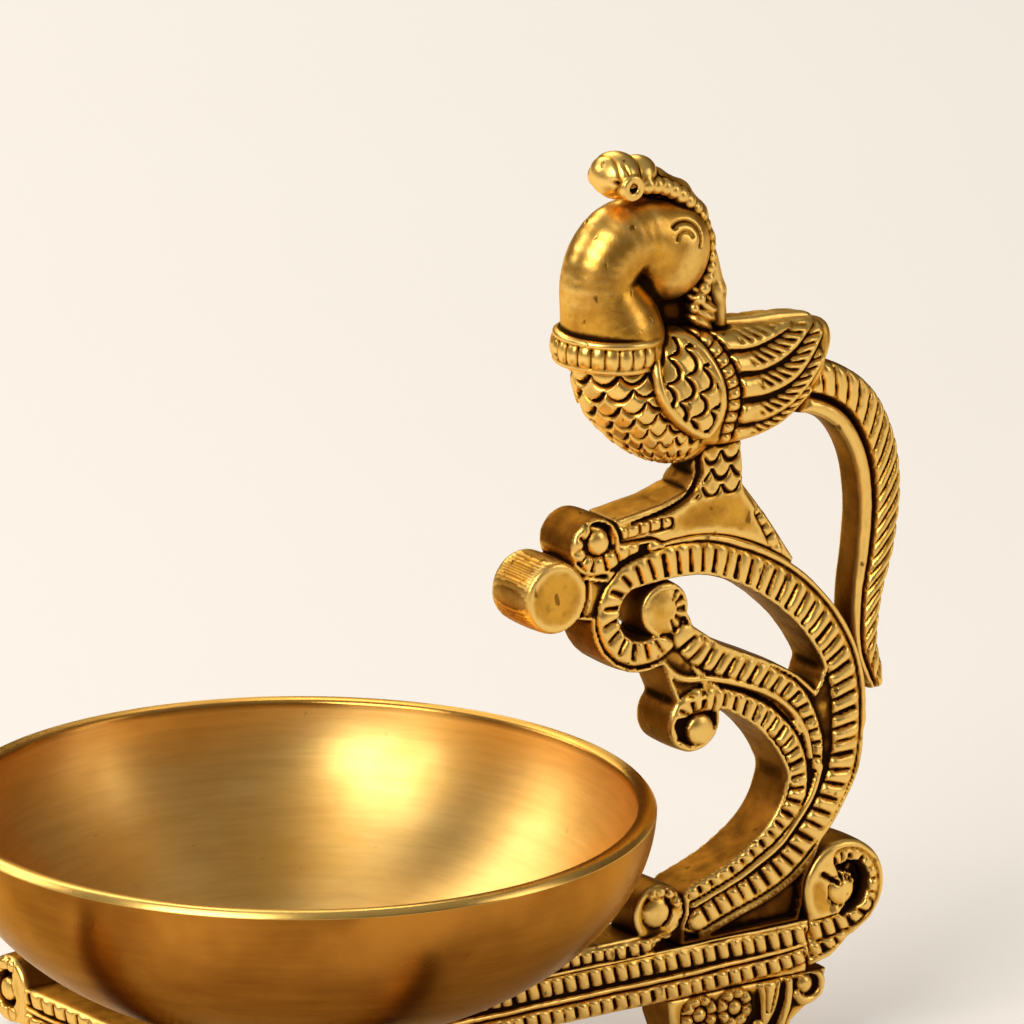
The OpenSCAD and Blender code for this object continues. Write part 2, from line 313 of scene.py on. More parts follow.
class Relief:
    """The outline and the face of a flat casting, drawn on an x, z map in millimetres."""

    def __init__(self, low, high, half, step=STEP, seed=1, wander=0.1):
        self.step, self.half, self.seed = step, half, seed
        self.x = np.arange(low[0] - 1.5, high[0] + 1.5, step)
        self.z = np.arange(low[1] - 1.5, high[1] + 1.5, step)
        gx, gz = np.meshgrid(self.x, self.z, indexing="ij")
        self.gx = gx + wander * noise2(gx, gz, 7, seed) + 0.03 * noise2(gx, gz, 1.7, seed + 1)
        self.gz = gz + wander * noise2(gx, gz, 7, seed + 2) + 0.03 * noise2(gx, gz, 1.7, seed + 3)
        self.edge = np.full(gx.shape, 50.0)
        self.face = np.full(gx.shape, half)
        self.dull = np.zeros(gx.shape)
        self.filed = []

    def near(self, path):
        """What follow says of a line, or of the curve through a list of points."""
        return follow(curve(path) if isinstance(path, list) else path, self.gx, self.gz)

    def within(self, points):
        return inside_polygon(points, self.gx, self.gz)

    def radius(self, centre):
        return np.hypot(self.gx - centre[0], self.gz - centre[1])

    def add_band(self, path, k=0.8):
        dist, _, _, width = self.near(path)
        self.edge = smooth_min(self.edge, dist - width / 2, k)

    def add_disc(self, centre, radius, k=0.8):
        self.edge = smooth_min(self.edge, self.radius(centre) - radius, k)

    def add_polygon(self, points, k=0.8):
        self.edge = smooth_min(self.edge, self.within(points), k)

    def cut_disc(self, centre, radius, k=0.4):
        self.edge = smooth_max(self.edge, radius - self.radius(centre), k)

    def floor(self, where, level, soft=0.5):
        """Lowers the face to a level where a signed distance is negative."""
        lowered = level + (self.face - level) * smooth_step(-soft, soft / 2, where)
        self.face = np.minimum(self.face, lowered)

    def level(self, where, level, soft=0.4):
        """Sets the face to a level where a signed distance is negative."""
        t = smooth_step(-soft, soft, where)
        self.face = level * (1 - t) + self.face * t

    def ridge(self, path, top, bottom):
        """A plain rounded line, as wide as the path says."""
        dist, _, _, width = self.near(path)
        height = bottom + (top - bottom) * crown(2 * dist / width)
        self.face = np.where(dist < width / 2, np.maximum(self.face, height), self.face)

    def groove(self, path, depth):
        dist, _, _, width = self.near(path)
        self.face = self.face - depth * crown(2 * dist / width)

    def ribs(self, path, top, floor, pitch, lean=0.0, seed=0, join=0):
        """A band of ribs across a line, with dark notches between them. They run together on side join."""
        margin, fill = 0.2, 0.97
        dist, side, along, width = self.near(path)
        rng = np.random.default_rng(self.seed * 100 + seed)
        move, size = rng.uniform(-0.09, 0.09, 512), rng.uniform(0.86, 1.0, 512)
        phase = (along + lean * side) / pitch
        number = np.round(phase).astype(int) % 512
        off = np.abs(2 * (off_whole(phase) + move[number]))
        narrow = fill - 0.18 * smooth_step(0.4, -0.4, join * side / width) * abs(join)
        together = smooth_step(0.15, 0.42, join * side / width) * 0.8
        tooth = np.maximum(crown(off / narrow, 2.4) * size[number], together)
        self.floor(dist - width / 2 - margin, floor)
        height = floor + (top - floor) * tooth * crown(2 * dist / width, 4)
        self.face = np.where(dist < width / 2, np.maximum(self.face, height), self.face)

    def rim(self, width, level):
        """A plain border along the outline."""
        self.face = np.where(self.edge > -width, np.maximum(self.face, level), self.face)

    def dome(self, centre, radius, top, rise):
        r = self.radius(centre)
        self.face = np.where(r < radius, top - rise + rise * crown(r / radius), self.face)

    def roughen(self, amount):
        cell = 1.6
        self.face = self.face + amount * noise2(self.gx, self.gz, cell, self.seed + 9)
        self.face = self.face + 0.6 * amount * noise2(self.gx, self.gz, cell * 3, self.seed + 10)

    def field(self, rounding=0.7, draft=0.25):
        reach = self.half + 3 * self.step
        self.y = np.arange(-reach, reach + self.step / 2, self.step)
        y = np.abs(self.y)[None, :, None]
        edge = self.edge[:, None, :] + draft * (y / self.half)**2 - draft / 3
        return smooth_max(y - self.face[:, None, :], edge, rounding)

    def corner(self):
        return np.array([self.x[0], self.y[0], self.z[0]])

    def sampled(self, values, gx, gz):
        """Values of a map at any x, z, with blends between its points."""
        i = np.clip((gx - self.x[0]) / self.step, 0, len(self.x) - 1.001)
        k = np.clip((gz - self.z[0]) / self.step, 0, len(self.z) - 1.001)
        i0, k0 = i.astype(int), k.astype(int)
        u, v = i - i0, k - k0
        return (values[i0, k0] * (1 - u) * (1 - v) + values[i0 + 1, k0] * u * (1 - v)
                + values[i0, k0 + 1] * (1 - u) * v + values[i0 + 1, k0 + 1] * u * v)

    def brown_rough(self, verts, normals):
        """Side walls are left as cast, and so are the dull parts of the face."""
        i = np.clip(np.round((verts[:, 0] - self.x[0]) / self.step).astype(int), 0, len(self.x) - 1)
        k = np.clip(np.round((verts[:, 2] - self.z[0]) / self.step).astype(int), 0, len(self.z) - 1)
        deep = smooth_step(self.half - 0.5, self.half - 1.3, np.abs(verts[:, 1]))
        wall = smooth_step(0.75, 0.3, np.abs(normals[:, 1])) * deep
        for centre, radius in self.filed:
            away = np.hypot(verts[:, 0] - centre[0], verts[:, 2] - centre[1])
            wall = wall * smooth_step(radius, radius + 1, away)
        return np.clip(wall + self.dull[i, k], 0, 1)

    def mesh(self, name, field=None, **options):
        field = self.field(**options) if field is None else field
        return field_piece(name, field, self.corner(), self.step, self.brown_rough)


# ---------------------------------------------------------------- the camera, first of all

AZIMUTH, ELEVATION = math.radians(-35), math.radians(17.5)
LENS, SENSOR = 1600, 36
WIDE = 0.1572  # width of the view at the lamp, in metres

look_from = np.array([math.sin(AZIMUTH) * math.cos(ELEVATION),
                      -math.cos(AZIMUTH) * math.cos(ELEVATION), math.sin(ELEVATION)])
right_of = np.array([math.cos(AZIMUTH), math.sin(AZIMUTH), 0])
up_of = np.cross(look_from, right_of)
aim = np.array([0, 0, 0.057]) + 0.03267 * right_of + 0.0447 * up_of

camera = bpy.data.objects.new("camera", bpy.data.cameras.new("camera"))
bpy.context.scene.collection.objects.link(camera)
camera.data.lens = LENS
camera.data.sensor_width = SENSOR
camera.data.clip_start = 0.05
camera.location = aim + look_from * WIDE * LENS / SENSOR
camera.rotation_euler = (math.pi / 2 - ELEVATION, 0, AZIMUTH)
bpy.context.scene.camera = camera


# ---------------------------------------------------------------- materials

EDGE_TINT = (1.0, 0.8, 0.52, 1)


def node_tree(name):
    material = bpy.data.materials.new(name)
    material.use_nodes = True
    tree = material.node_tree
    shader = next(n for n in tree.nodes if n.type == "BSDF_PRINCIPLED")
    return material, tree, shader


def link(tree, source, target):
    tree.links.new(source, target)


def feed(tree, value, socket):
    """Links a socket, or sets it where the value is a number or colour."""
    if isinstance(value, (tuple, float, int)):
        socket.default_value = value
    else:
        link(tree, value, socket)


def texture(tree, kind, scale, stretch=(1, 1, 1), **inputs):
    place = tree.nodes.new("ShaderNodeTexCoord")
    mapping = tree.nodes.new("ShaderNodeMapping")
    mapping.inputs["Scale"].default_value = [scale * s for s in stretch]
    node = tree.nodes.new(kind)
    node.inputs["Scale"].default_value = 1
    for key, value in inputs.items():
        node.inputs[key].default_value = value
    link(tree, place.outputs["Object"], mapping.inputs["Vector"])
    link(tree, mapping.outputs["Vector"], node.inputs["Vector"])
    return node


def remap(tree, value, low, high, to_low=0.0, to_high=1.0, smooth=True):
    node = tree.nodes.new("ShaderNodeMapRange")
    node.interpolation_type = "SMOOTHSTEP" if smooth else "LINEAR"
    for key, number in zip(("From Min", "From Max", "To Min", "To Max"), (low, high, to_low, to_high)):
        node.inputs[key].default_value = number
    link(tree, value, node.inputs["Value"])
    return node.outputs["Result"]


def mixed(tree, factor, first, second):
    node = tree.nodes.new("ShaderNodeMix")
    node.data_type = "RGBA"
    for key, value in (("Factor", factor), ("A", first), ("B", second)):
        feed(tree, value, node.inputs[key])
    return node.outputs["Result"]


def maths(tree, operation, first, second):
    node = tree.nodes.new("ShaderNodeMath")
    node.operation = operation
    for socket, value in zip(node.inputs, (first, second)):
        feed(tree, value, socket)
    return node.outputs["Value"]


def bump(tree, height, strength, distance, below=None):
    node = tree.nodes.new("ShaderNodeBump")
    node.inputs["Strength"].default_value = strength
    node.inputs["Distance"].default_value = distance
    link(tree, height, node.inputs["Height"])
    if below is not None:
        link(tree, below, node.inputs["Normal"])
    return node.outputs["Normal"]


def attribute(tree, name):
    node = tree.nodes.new("ShaderNodeAttribute")
    node.attribute_name = name
    return node.outputs["Fac"]


GOLD = (0.74, 0.385, 0.05, 1)
PALE_GOLD = (0.95, 0.62, 0.17, 1)
DEEP_GOLD = (0.47, 0.215, 0.026, 1)
CAST_BROWN = (0.25, 0.092, 0.010, 1)
CAST_DARK = (0.11, 0.036, 0.004, 1)
# Brown for pits and specks, and with the patina and painted shade in the hollows
BROWN = (0.12, 0.04, 0.005, 1)
# Nearly black: patina and painted shade in the deepest hollows
BLACK = (0.018, 0.007, 0.002, 1)
# Outside colours of the bowl, darker partly as painted shade
BOWL_GOLD = (0.52, 0.21, 0.028, 1)
BOWL_DEEP = (0.27, 0.095, 0.011, 1)
# Painted shade towards the foot of the bowl's outside
BOWL_FOOT_SHADE = (0.19, 0.058, 0.007, 1)
# Inside colours of the bowl, paler partly as painted light
INNER_PALE = (0.90, 0.60, 0.20, 1)
INNER_DEEP = (0.78, 0.46, 0.11, 1)
ZINC = (0.62, 0.61, 0.58, 1)
ZINC_DULL = (0.35, 0.34, 0.33, 1)


def cast_brass(name):
    """Cast brass with dark patina and painted shade in the hollows, and bright rubbed ridges."""
    material, tree, shader = node_tree(name)
    fine, wide, brown_rough = attribute(tree, "fine"), attribute(tree, "wide"), attribute(tree, "brown_rough")
    patches = texture(tree, "ShaderNodeTexNoise", 160, Detail=4.0, Roughness=0.6)
    specks = texture(tree, "ShaderNodeTexNoise", 900, Detail=3.0, Roughness=0.65)
    uneven = maths(tree, "MULTIPLY", maths(tree, "SUBTRACT", specks.outputs["Fac"], 0.5), 0.12)
    hollow = maths(tree, "ADD", maths(tree, "ADD", fine, maths(tree, "MULTIPLY", wide, 0.75)), uneven)
    base = mixed(tree, remap(tree, patches.outputs["Fac"], 0.35, 0.7), GOLD, DEEP_GOLD)
    worn = mixed(tree, remap(tree, hollow, -0.04, -0.24), base, PALE_GOLD)
    cast = mixed(tree, remap(tree, patches.outputs["Fac"], 0.3, 0.75), CAST_BROWN, CAST_DARK)
    # Brown cast colour on side walls and dull parts, which are as cast, and painted shade in the bird's
    # throat
    cast_skin_and_shade = mixed(tree, brown_rough, worn, cast)
    # Patina with painted shade: browner and then nearly black the deeper a vertex sits in a hollow
    hollow_patina_and_shade = mixed(tree, remap(tree, hollow, 0.01, 0.13), cast_skin_and_shade, BROWN)
    dark = mixed(tree, remap(tree, hollow, 0.08, 0.26), hollow_patina_and_shade, BLACK)
    spots = texture(tree, "ShaderNodeTexNoise", 520, stretch=(1, 1, 0.6), Detail=1.5, Roughness=0.5)
    pits = remap(tree, spots.outputs["Fac"], 0.68, 0.76)
    link(tree, mixed(tree, maths(tree, "MULTIPLY", pits, 0.75), dark, BROWN), shader.inputs["Base Color"])
    shader.inputs["Metallic"].default_value = 1.0
    shader.inputs["Specular Tint"].default_value = EDGE_TINT
    polish = maths(tree, "ADD", remap(tree, hollow, -0.05, 0.25, 0.33, 0.6),
                   remap(tree, patches.outputs["Fac"], 0.3, 0.75, -0.05, 0.08))
    rough = maths(tree, "ADD", polish, maths(tree, "MULTIPLY", brown_rough, 0.16))
    link(tree, rough, shader.inputs["Roughness"])
    hammered = bump(tree, patches.outputs["Fac"], 0.35, 0.0004)
    pitted = bump(tree, maths(tree, "SUBTRACT", 1.0, pits), 0.6, 0.00015, hammered)
    link(tree, bump(tree, specks.outputs["Fac"], 0.3, 0.00012, pitted), shader.inputs["Normal"])
    return material


def turned_brass(name):
    """Brass turned on a lathe: satin inside with fine rings, darker and smoother outside. The pale inside is
    partly its own colour and partly painted light, and the darker outside is partly its own colour and
    partly painted shade, which deepens towards the foot.
    """
    material, tree, shader = node_tree(name)
    inner = attribute(tree, "inner")
    height = attribute(tree, "height")
    rings = texture(tree, "ShaderNodeTexNoise", 1, Detail=3.0, Roughness=0.6)
    rings.noise_dimensions = "1D"
    rings.inputs["Scale"].default_value = 420
    link(tree, attribute(tree, "path"), rings.inputs["W"])
    clouds = texture(tree, "ShaderNodeTexNoise", 38, Detail=3.0, Roughness=0.55)
    specks = texture(tree, "ShaderNodeTexNoise", 520, Detail=4.0, Roughness=0.7)
    gold = mixed(tree, remap(tree, clouds.outputs["Fac"], 0.35, 0.68), BOWL_GOLD, BOWL_DEEP)
    # The pale inside is partly the metal's own colour and partly painted light
    inside = mixed(tree, remap(tree, clouds.outputs["Fac"], 0.35, 0.75), INNER_PALE, INNER_DEEP)
    # Painted shade: the outside goes darker towards the foot
    outside = mixed(tree, remap(tree, height, 0.95, 0.3), gold, BOWL_FOOT_SHADE)
    worn_edge = mixed(tree, attribute(tree, "lip"), mixed(tree, inner, outside, inside), PALE_GOLD)
    smears = texture(tree, "ShaderNodeTexNoise", 60, stretch=(1, 1, 14), Detail=5.0, Roughness=0.7)
    colour = mixed(tree, remap(tree, smears.outputs["Fac"], 0.3, 0.75, 0.0, 0.28), worn_edge, DEEP_GOLD)
    link(tree, mixed(tree, remap(tree, specks.outputs["Fac"], 0.66, 0.78, 0, 0.55), colour, BROWN),
         shader.inputs["Base Color"])
    shader.inputs["Metallic"].default_value = 1.0
    shader.inputs["Specular Tint"].default_value = EDGE_TINT
    rough = maths(tree, "ADD", remap(tree, clouds.outputs["Fac"], 0.3, 0.7, -0.06, 0.08),
                  mixed(tree, inner, (0.27, 0.27, 0.27, 1), (0.44, 0.44, 0.44, 1)))
    link(tree, rough, shader.inputs["Roughness"])
    shader.inputs["Anisotropic"].default_value = 0.8
    shader.inputs["Anisotropic Rotation"].default_value = 0.25
    tangent = tree.nodes.new("ShaderNodeTangent")
    tangent.direction_type = "RADIAL"
    tangent.axis = "Z"
    link(tree, tangent.outputs["Tangent"], shader.inputs["Tangent"])
    turned = bump(tree, rings.outputs["Fac"], 0.3, 0.00006)
    link(tree, bump(tree, specks.outputs["Fac"], 0.15, 0.00008, turned), shader.inputs["Normal"])
    return material


def plain_metal(name, colour, dull, roughness):
    """A small hidden fitting: patchy metal with fine scratches."""
    material, tree, shader = node_tree(name)
    patches = texture(tree, "ShaderNodeTexNoise", 300, Detail=4.0, Roughness=0.6)
    scratches = texture(tree, "ShaderNodeTexNoise", 900, stretch=(1, 1, 0.1), Detail=2.0)
    link(tree, mixed(tree, remap(tree, patches.outputs["Fac"], 0.35, 0.7), colour, dull),
         shader.inputs["Base Color"])
    shader.inputs["Metallic"].default_value = 1.0
    link(tree, remap(tree, patches.outputs["Fac"], 0.3, 0.7, roughness, roughness + 0.15),
         shader.inputs["Roughness"])
    link(tree, bump(tree, scratches.outputs["Fac"], 0.3, 0.00005), shader.inputs["Normal"])
    return material


BRASS = cast_brass("cast_brass_patina_and_shade")
TURNED = turned_brass("turned_brass_bowl")
SEAT = plain_metal("seat_brass", DEEP_GOLD, BROWN, 0.35)
STEEL = plain_metal("zinc_plated_steel", ZINC, ZINC_DULL, 0.3)

for node, obj in frame["nodes"].items():
    fastener = any(word in node for word in ("screw", "pin", "washer", "nut"))
    obj.data.materials.clear()
    obj.data.materials.append(STEEL if fastener else SEAT)


# ---------------------------------------------------------------- bowl

def bowl_profile():
    """Outside from the foot up, over the lip and down the inside, as [r, z, inner, lip]."""
    low, high = cad("oil_bowl")
    rim_r, rim_z, foot_z = high[0], high[2], low[2]
    depth, inner_depth, lip, foot_r, body_r = 34.7, 29.5, 3.0, 19.0, 20.0
    body_z = rim_z - depth * math.sqrt(1 - (body_r / rim_r)**2)
    outside = [(0, foot_z), (foot_r - 0.6, foot_z), (foot_r - 0.1, foot_z + 0.3),
               (foot_r + 0.2, foot_z + 0.8), (body_r, body_z + 0.1)]
    for a in np.linspace(math.acos(body_r / rim_r), 0.03, 72)[1:]:
        if depth * math.sin(a) > 1.0:
            outside.append((rim_r * math.cos(a), rim_z - depth * math.sin(a)))
    worn_rim = [(0.02, 0.95), (0.1, 0.78), (0.5, 0.24), (0.72, 0.08), (1.1, 0)]
    flat_lip = [(1.9, 0.04), (lip - 0.5, 0.1), (lip - 0.15, 0.25), (lip, 0.6)]
    inside = [((rim_r - lip) * math.cos(a), rim_z - inner_depth * math.sin(a))
              for a in np.linspace(0.05, math.pi / 2, 72)]
    points = [(r, z, 0.0, 0.0) for r, z in outside]
    points += [(rim_r - r, rim_z - z, 0.0, 1.0) for r, z in worn_rim]
    points += [(rim_r - r, rim_z - z, 0.0, 0.3) for r, z in flat_lip]
    return np.array(points + [(r, z, 1.0, 0.0) for r, z in inside])


def bowl_mesh():
    around = 288
    profile = bowl_profile()
    steps = np.hypot(*np.diff(profile[:, :2], axis=0).T)
    along = np.concatenate([[0], np.cumsum(steps)])
    angle = np.linspace(0, 2 * math.pi, around, endpoint=False)
    body = profile[1:-1]
    radius, inner = body[:, 0][:, None], body[:, 2][:, None]
    ripple = 0.07 + 0.035 * np.sin(5 * angle + 0.6) + 0.03 * np.sin(9 * angle + 2)
    r = radius - np.clip(radius / 55, 0, 1) * ripple[None] * inner
    z = np.repeat(body[:, 1][:, None], around, 1)
    verts = np.stack([r * np.cos(angle), r * np.sin(angle), z], 2).reshape(-1, 3)
    ends = np.array([[0, 0, profile[0, 1]], [0, 0, profile[-1, 1]]])
    faces = []
    rows = len(body)
    for i in range(rows - 1):
        for j in range(around):
            k = (j + 1) % around
            row, above = i * around, (i + 1) * around
            faces.append((row + j, row + k, above + k, above + j))
    for j in range(around):
        k = (j + 1) % around
        faces.append((len(verts), k, j))
        faces.append((len(verts) + 1, (rows - 1) * around + j, (rows - 1) * around + k))
    mesh = bpy.data.meshes.new("bowl")
    mesh.from_pydata((np.vstack([verts, ends]) * MM).tolist(), [], faces)
    mesh.shade_smooth()
    low, high = cad("oil_bowl")
    height = (body[:, 1] - low[2]) / (high[2] - low[2])
    for key, rings, poles in (("inner", body[:, 2], [0, 1]), ("lip", body[:, 3], [0, 0]),
                              ("height", height, [0, 0]), ("path", along[1:-1] * MM, [0, along[-1] * MM])):
        numbers = np.concatenate([np.repeat(rings, around), poles]).astype(np.float32)
        mesh.attributes.new(key, "FLOAT", "POINT").data.foreach_set("value", numbers)
    return mesh


add_piece("oil_bowl_turned", bowl_mesh(), TURNED, ["oil_bowl"], body="bowl")


# ---------------------------------------------------------------- scroll bracket

# Spacing of the ribs, half thickness of the castings, and the levels of their ribs and of the ground between
PITCH = 2.4
HALF = cad("bracket")[1][1]
TOP = HALF - 0.02
FLOOR = HALF - 1.0

ARCH = curve([
    [60, 84.4, 5.4], [67, 85.2, 6.4], [75, 84.4, 6.8], [83.4, 80.7, 7],
    [91, 74.8, 7], [97, 67.4, 6.8], [100, 60, 6.6], [100.5, 53, 6.4]])
TRUNK = curve([
    [98.5, 60, 7], [97.5, 54, 11.5], [96.1, 47.5, 13.6], [93.8, 41.8, 12],
    [90.7, 37.3, 10.4], [86.9, 33.9, 9.6], [82.5, 31.4, 9], [78, 29.6, 8.4], [72, 27.8, 8]])
INNER_BRANCH = curve([[69.5, 71.4, 5.6], [75, 67.2, 6], [82, 63.8, 6], [89, 60, 6], [94, 54.5, 6]])
LOWER_BRANCH = curve([
    [71, 61.4, 3.6], [75, 61.6, 4], [79.5, 60.2, 4.6], [84.5, 57, 5.2], [88.6, 52.6, 5.4], [91.4, 47, 5]])
CURL_STEM = curve([[52, 87.6, 4], [57.5, 87, 5], [63, 87.2, 4]])
RING, KNOB, CURL, STUB, TOP_CURL = (61.8, 77.7), (65.6, 77.3), (71.2, 58.2), (45, 82.9), (52.6, 89.8)
SCROLL = (64.8, 28.3)
BEAM_TOP = cad("bracket")[0][2]
VOLUTE = (99.6, 26.2)


def bracket():
    low, high = cad("bracket")
    r = Relief((low[0], low[2]), (high[0], high[2]), HALF, seed=11)
    for path in (ARCH, TRUNK, INNER_BRANCH, LOWER_BRANCH):
        r.add_band(path)
    r.add_band(arc(RING, 7.3, 330, 80, 5.2))
    r.add_disc(KNOB, 4.4, 0.5)
    r.add_band([[67.6, 73.6, 4], [68.6, 70.6, 5]])
    r.add_disc(TOP_CURL, 4.6)
    r.add_band(CURL_STEM)
    r.add_band([[45, 83, 6], [50, 82, 7], [54, 81, 7]], 0.3)
    r.add_disc(STUB, 5.8, 0.3)
    r.add_disc(CURL, 4.9)
    r.add_band([[67.6, 69, 5], [69, 66, 5.4], [71, 62, 6]])
    r.add_polygon([[72, 64], [80, 61], [90, 54], [92, 57], [84, 63], [74, 67]])
    web = r.within([
        [68.5, BEAM_TOP - 1], [90.5, BEAM_TOP - 1], [95.5, 36], [90, 35], [80, 29], [68.5, 27]])
    solid = r.edge.copy()
    r.edge = smooth_min(r.edge, web, 0.5)
    r.edge = np.maximum(r.edge, BEAM_TOP + 0.05 - r.gz)
    r.cut_disc(VOLUTE, 7.7)
    r.cut_disc(SCROLL, 4.7)
    r.level(-solid, 3.2, 0.5)
    r.level(solid, FLOOR - 0.1, 0.3)
    r.dull = smooth_step(-0.3, 0.3, solid)
    r.filed = [(STUB, 7.0)]

    # Plain flat parts
    r.level(r.radius(STUB) - 5.8, TOP, 0.2)
    r.level(r.within([[62, 72], [73, 68.5], [74, 61], [66, 61], [65, 66]]), FLOOR + 0.25, 0.8)

    # Plain border outside the arch, and the ribbed band that runs from the ring to the foot
    ring = arc(RING, 6.4, 325, 95, 4.6, end_width=5.0, count=40)
    over = curve([
        [63.5, 84.6, 5.2], [66, 84.8, 5.4], [70.7, 84.6, 5.4], [74.7, 83.8, 5.4], [79, 82.1, 5.4],
        [83.3, 80.1, 5.4], [87.3, 77.5, 5.4], [90.9, 74.4, 5.3], [94.1, 71, 5.2], [96.7, 67.2, 5.1],
        [98.5, 63.8, 5], [99.5, 60.2, 5], [100, 55, 5], [99.9, 49.6, 4.9], [99.3, 46, 4.7],
        [98, 42.8, 4.6], [95.6, 39.1, 4.4], [92.9, 35.9, 4.2], [88.6, 32.1, 4], [83.7, 29.7, 3.8],
        [79, 28.2, 3.6], [72.1, 25.9, 3.6]])
    border = over.copy()
    heading = np.gradient(over[:, :2], axis=0)
    heading /= np.linalg.norm(heading, axis=1, keepdims=True)
    beside = over[:, 2] / 2 + 0.75
    border[:, 0] -= heading[:, 1] * beside
    border[:, 1] += heading[:, 0] * beside
    border[:, 2] = 1.7
    r.ridge(border, TOP - 0.1, FLOOR)
    r.ribs(np.vstack([ring, over]), TOP, FLOOR, PITCH, lean=0.18, seed=1, join=1)

    # The middle band, the lower band that ends in the curl, and their thin borders
    band = [
        [69.3, 72.2, 4.4], [71.8, 69.5, 4.4], [74.7, 67.8, 4.4], [78.3, 65.9, 4.3], [81.9, 64.3, 4.2],
        [85.5, 62.4, 3.9], [89.1, 60.2, 3.4], [91.3, 58, 3], [92.7, 55.5, 2.6], [93.8, 52.9, 2.3],
        [94.5, 50.3, 2], [94.5, 46.6, 1.6]]
    r.ribs(band, TOP - 0.1, FLOOR, PITCH, lean=-0.15, seed=2, join=1)
    r.ridge([[65, 68.6, 1.3], [68.9, 65.6, 1.3], [74.7, 64.5, 1.2], [81.9, 61.9, 1.2], [86.6, 59.4, 1.2],
             [90.2, 56, 1.2], [92.3, 52.2, 1.2], [93.1, 48.4, 1.0]], TOP - 0.1, FLOOR)
    r.groove([[72.5, 63.6, 1.0], [79, 61.8, 1.0], [84.6, 59, 1.0], [88.8, 55.2, 0.9], [91.6, 50, 0.8]], 0.7)
    low_band = [
        [71.4, 55.4, 2.8], [69.6, 55.2, 3], [68.4, 57, 3.2], [68.4, 59.4, 3.4], [70, 61.2, 3.6],
        [72.9, 61.6, 3.8], [78.3, 60, 3.8], [81.9, 58.3, 3.6], [85.1, 56.2, 3.5], [88, 53.3, 3.4],
        [89.8, 50.6, 3.3], [90.9, 47.2, 3.2], [90.9, 43.4, 3.1], [89.4, 40.5, 3.1], [85.6, 37.1, 3],
        [83.7, 36, 3], [79, 33.5, 2.9], [72.9, 31.2, 2.8], [69.8, 30.4, 2.8]]
    r.ribs(low_band, TOP, FLOOR, PITCH - 0.25, lean=0.12, seed=3, join=1)
    r.ridge([[95, 46.5, 1.3], [93.5, 42.5, 1.3], [90.5, 38.6, 1.3], [87, 35.2, 1.3], [82, 32.4, 1.2],
             [77, 30.4, 1.1], [71, 28.4, 1.1]], TOP - 0.15, FLOOR)

    # Knobs and curls
    gap = np.maximum(r.radius(RING) - 4.3, 4.3 - r.radius(KNOB))
    r.level(gap, 2.2, 0.3)
    r.dome(KNOB, 4.4, TOP + 0.1, 1.3)
    angle = np.degrees(np.arctan2(r.gz - KNOB[1], r.gx - KNOB[0])) + 5
    fan = (r.radius(KNOB) > 1.9) & (r.radius(KNOB) < 4.3) & (np.abs(angle) < 62)
    r.face = np.where(fan, r.face - 0.45 * (0.5 + 0.5 * np.cos(np.radians(angle) * 12)), r.face)
    r.cut_disc((61.7, 81), 0.8, 0.3)
    r.level(np.maximum(r.radius(CURL) - 3.6, r.gz - 59.2), 3.3, 0.3)
    r.dome((72.5, 56.6), 2.5, TOP, 1.0)
    r.ridge([[72.9, 61.9, 1.2], [68.6, 61.6, 1.2], [66.9, 58.8, 1.2], [67.3, 55.4, 1.2], [70, 53.8, 1.2]],
            TOP - 0.1, FLOOR)

    # The small curl behind the stub
    r.level(r.radius(TOP_CURL) - 4.4, FLOOR, 0.4)
    r.ribs([[50.6, 92.8, 2.0], [49.1, 90.9, 2.4], [49.6, 88.4, 2.8], [52.0, 86.7, 3.0], [54.8, 87.0, 2.8],
            [57.5, 88, 2.4], [61, 88.6, 1.6]], TOP, FLOOR, 2.3, seed=4)
    r.dome((53.3, 90.4), 2.1, TOP, 1.1)
    r.groove([[55.6, 89.6, 1.0], [54.8, 92.6, 1.0], [52.4, 93.6, 0.9]], 1.0)

    # Deep notches round the stub, and a plain border round the whole
    r.groove(arc(STUB, 6.2, -75, 75, 1.2), 1.6)
    r.rim(0.7, TOP - 0.3)
    r.roughen(0.06)
    return r.mesh("bracket")


# ---------------------------------------------------------------- beams, volutes and feet

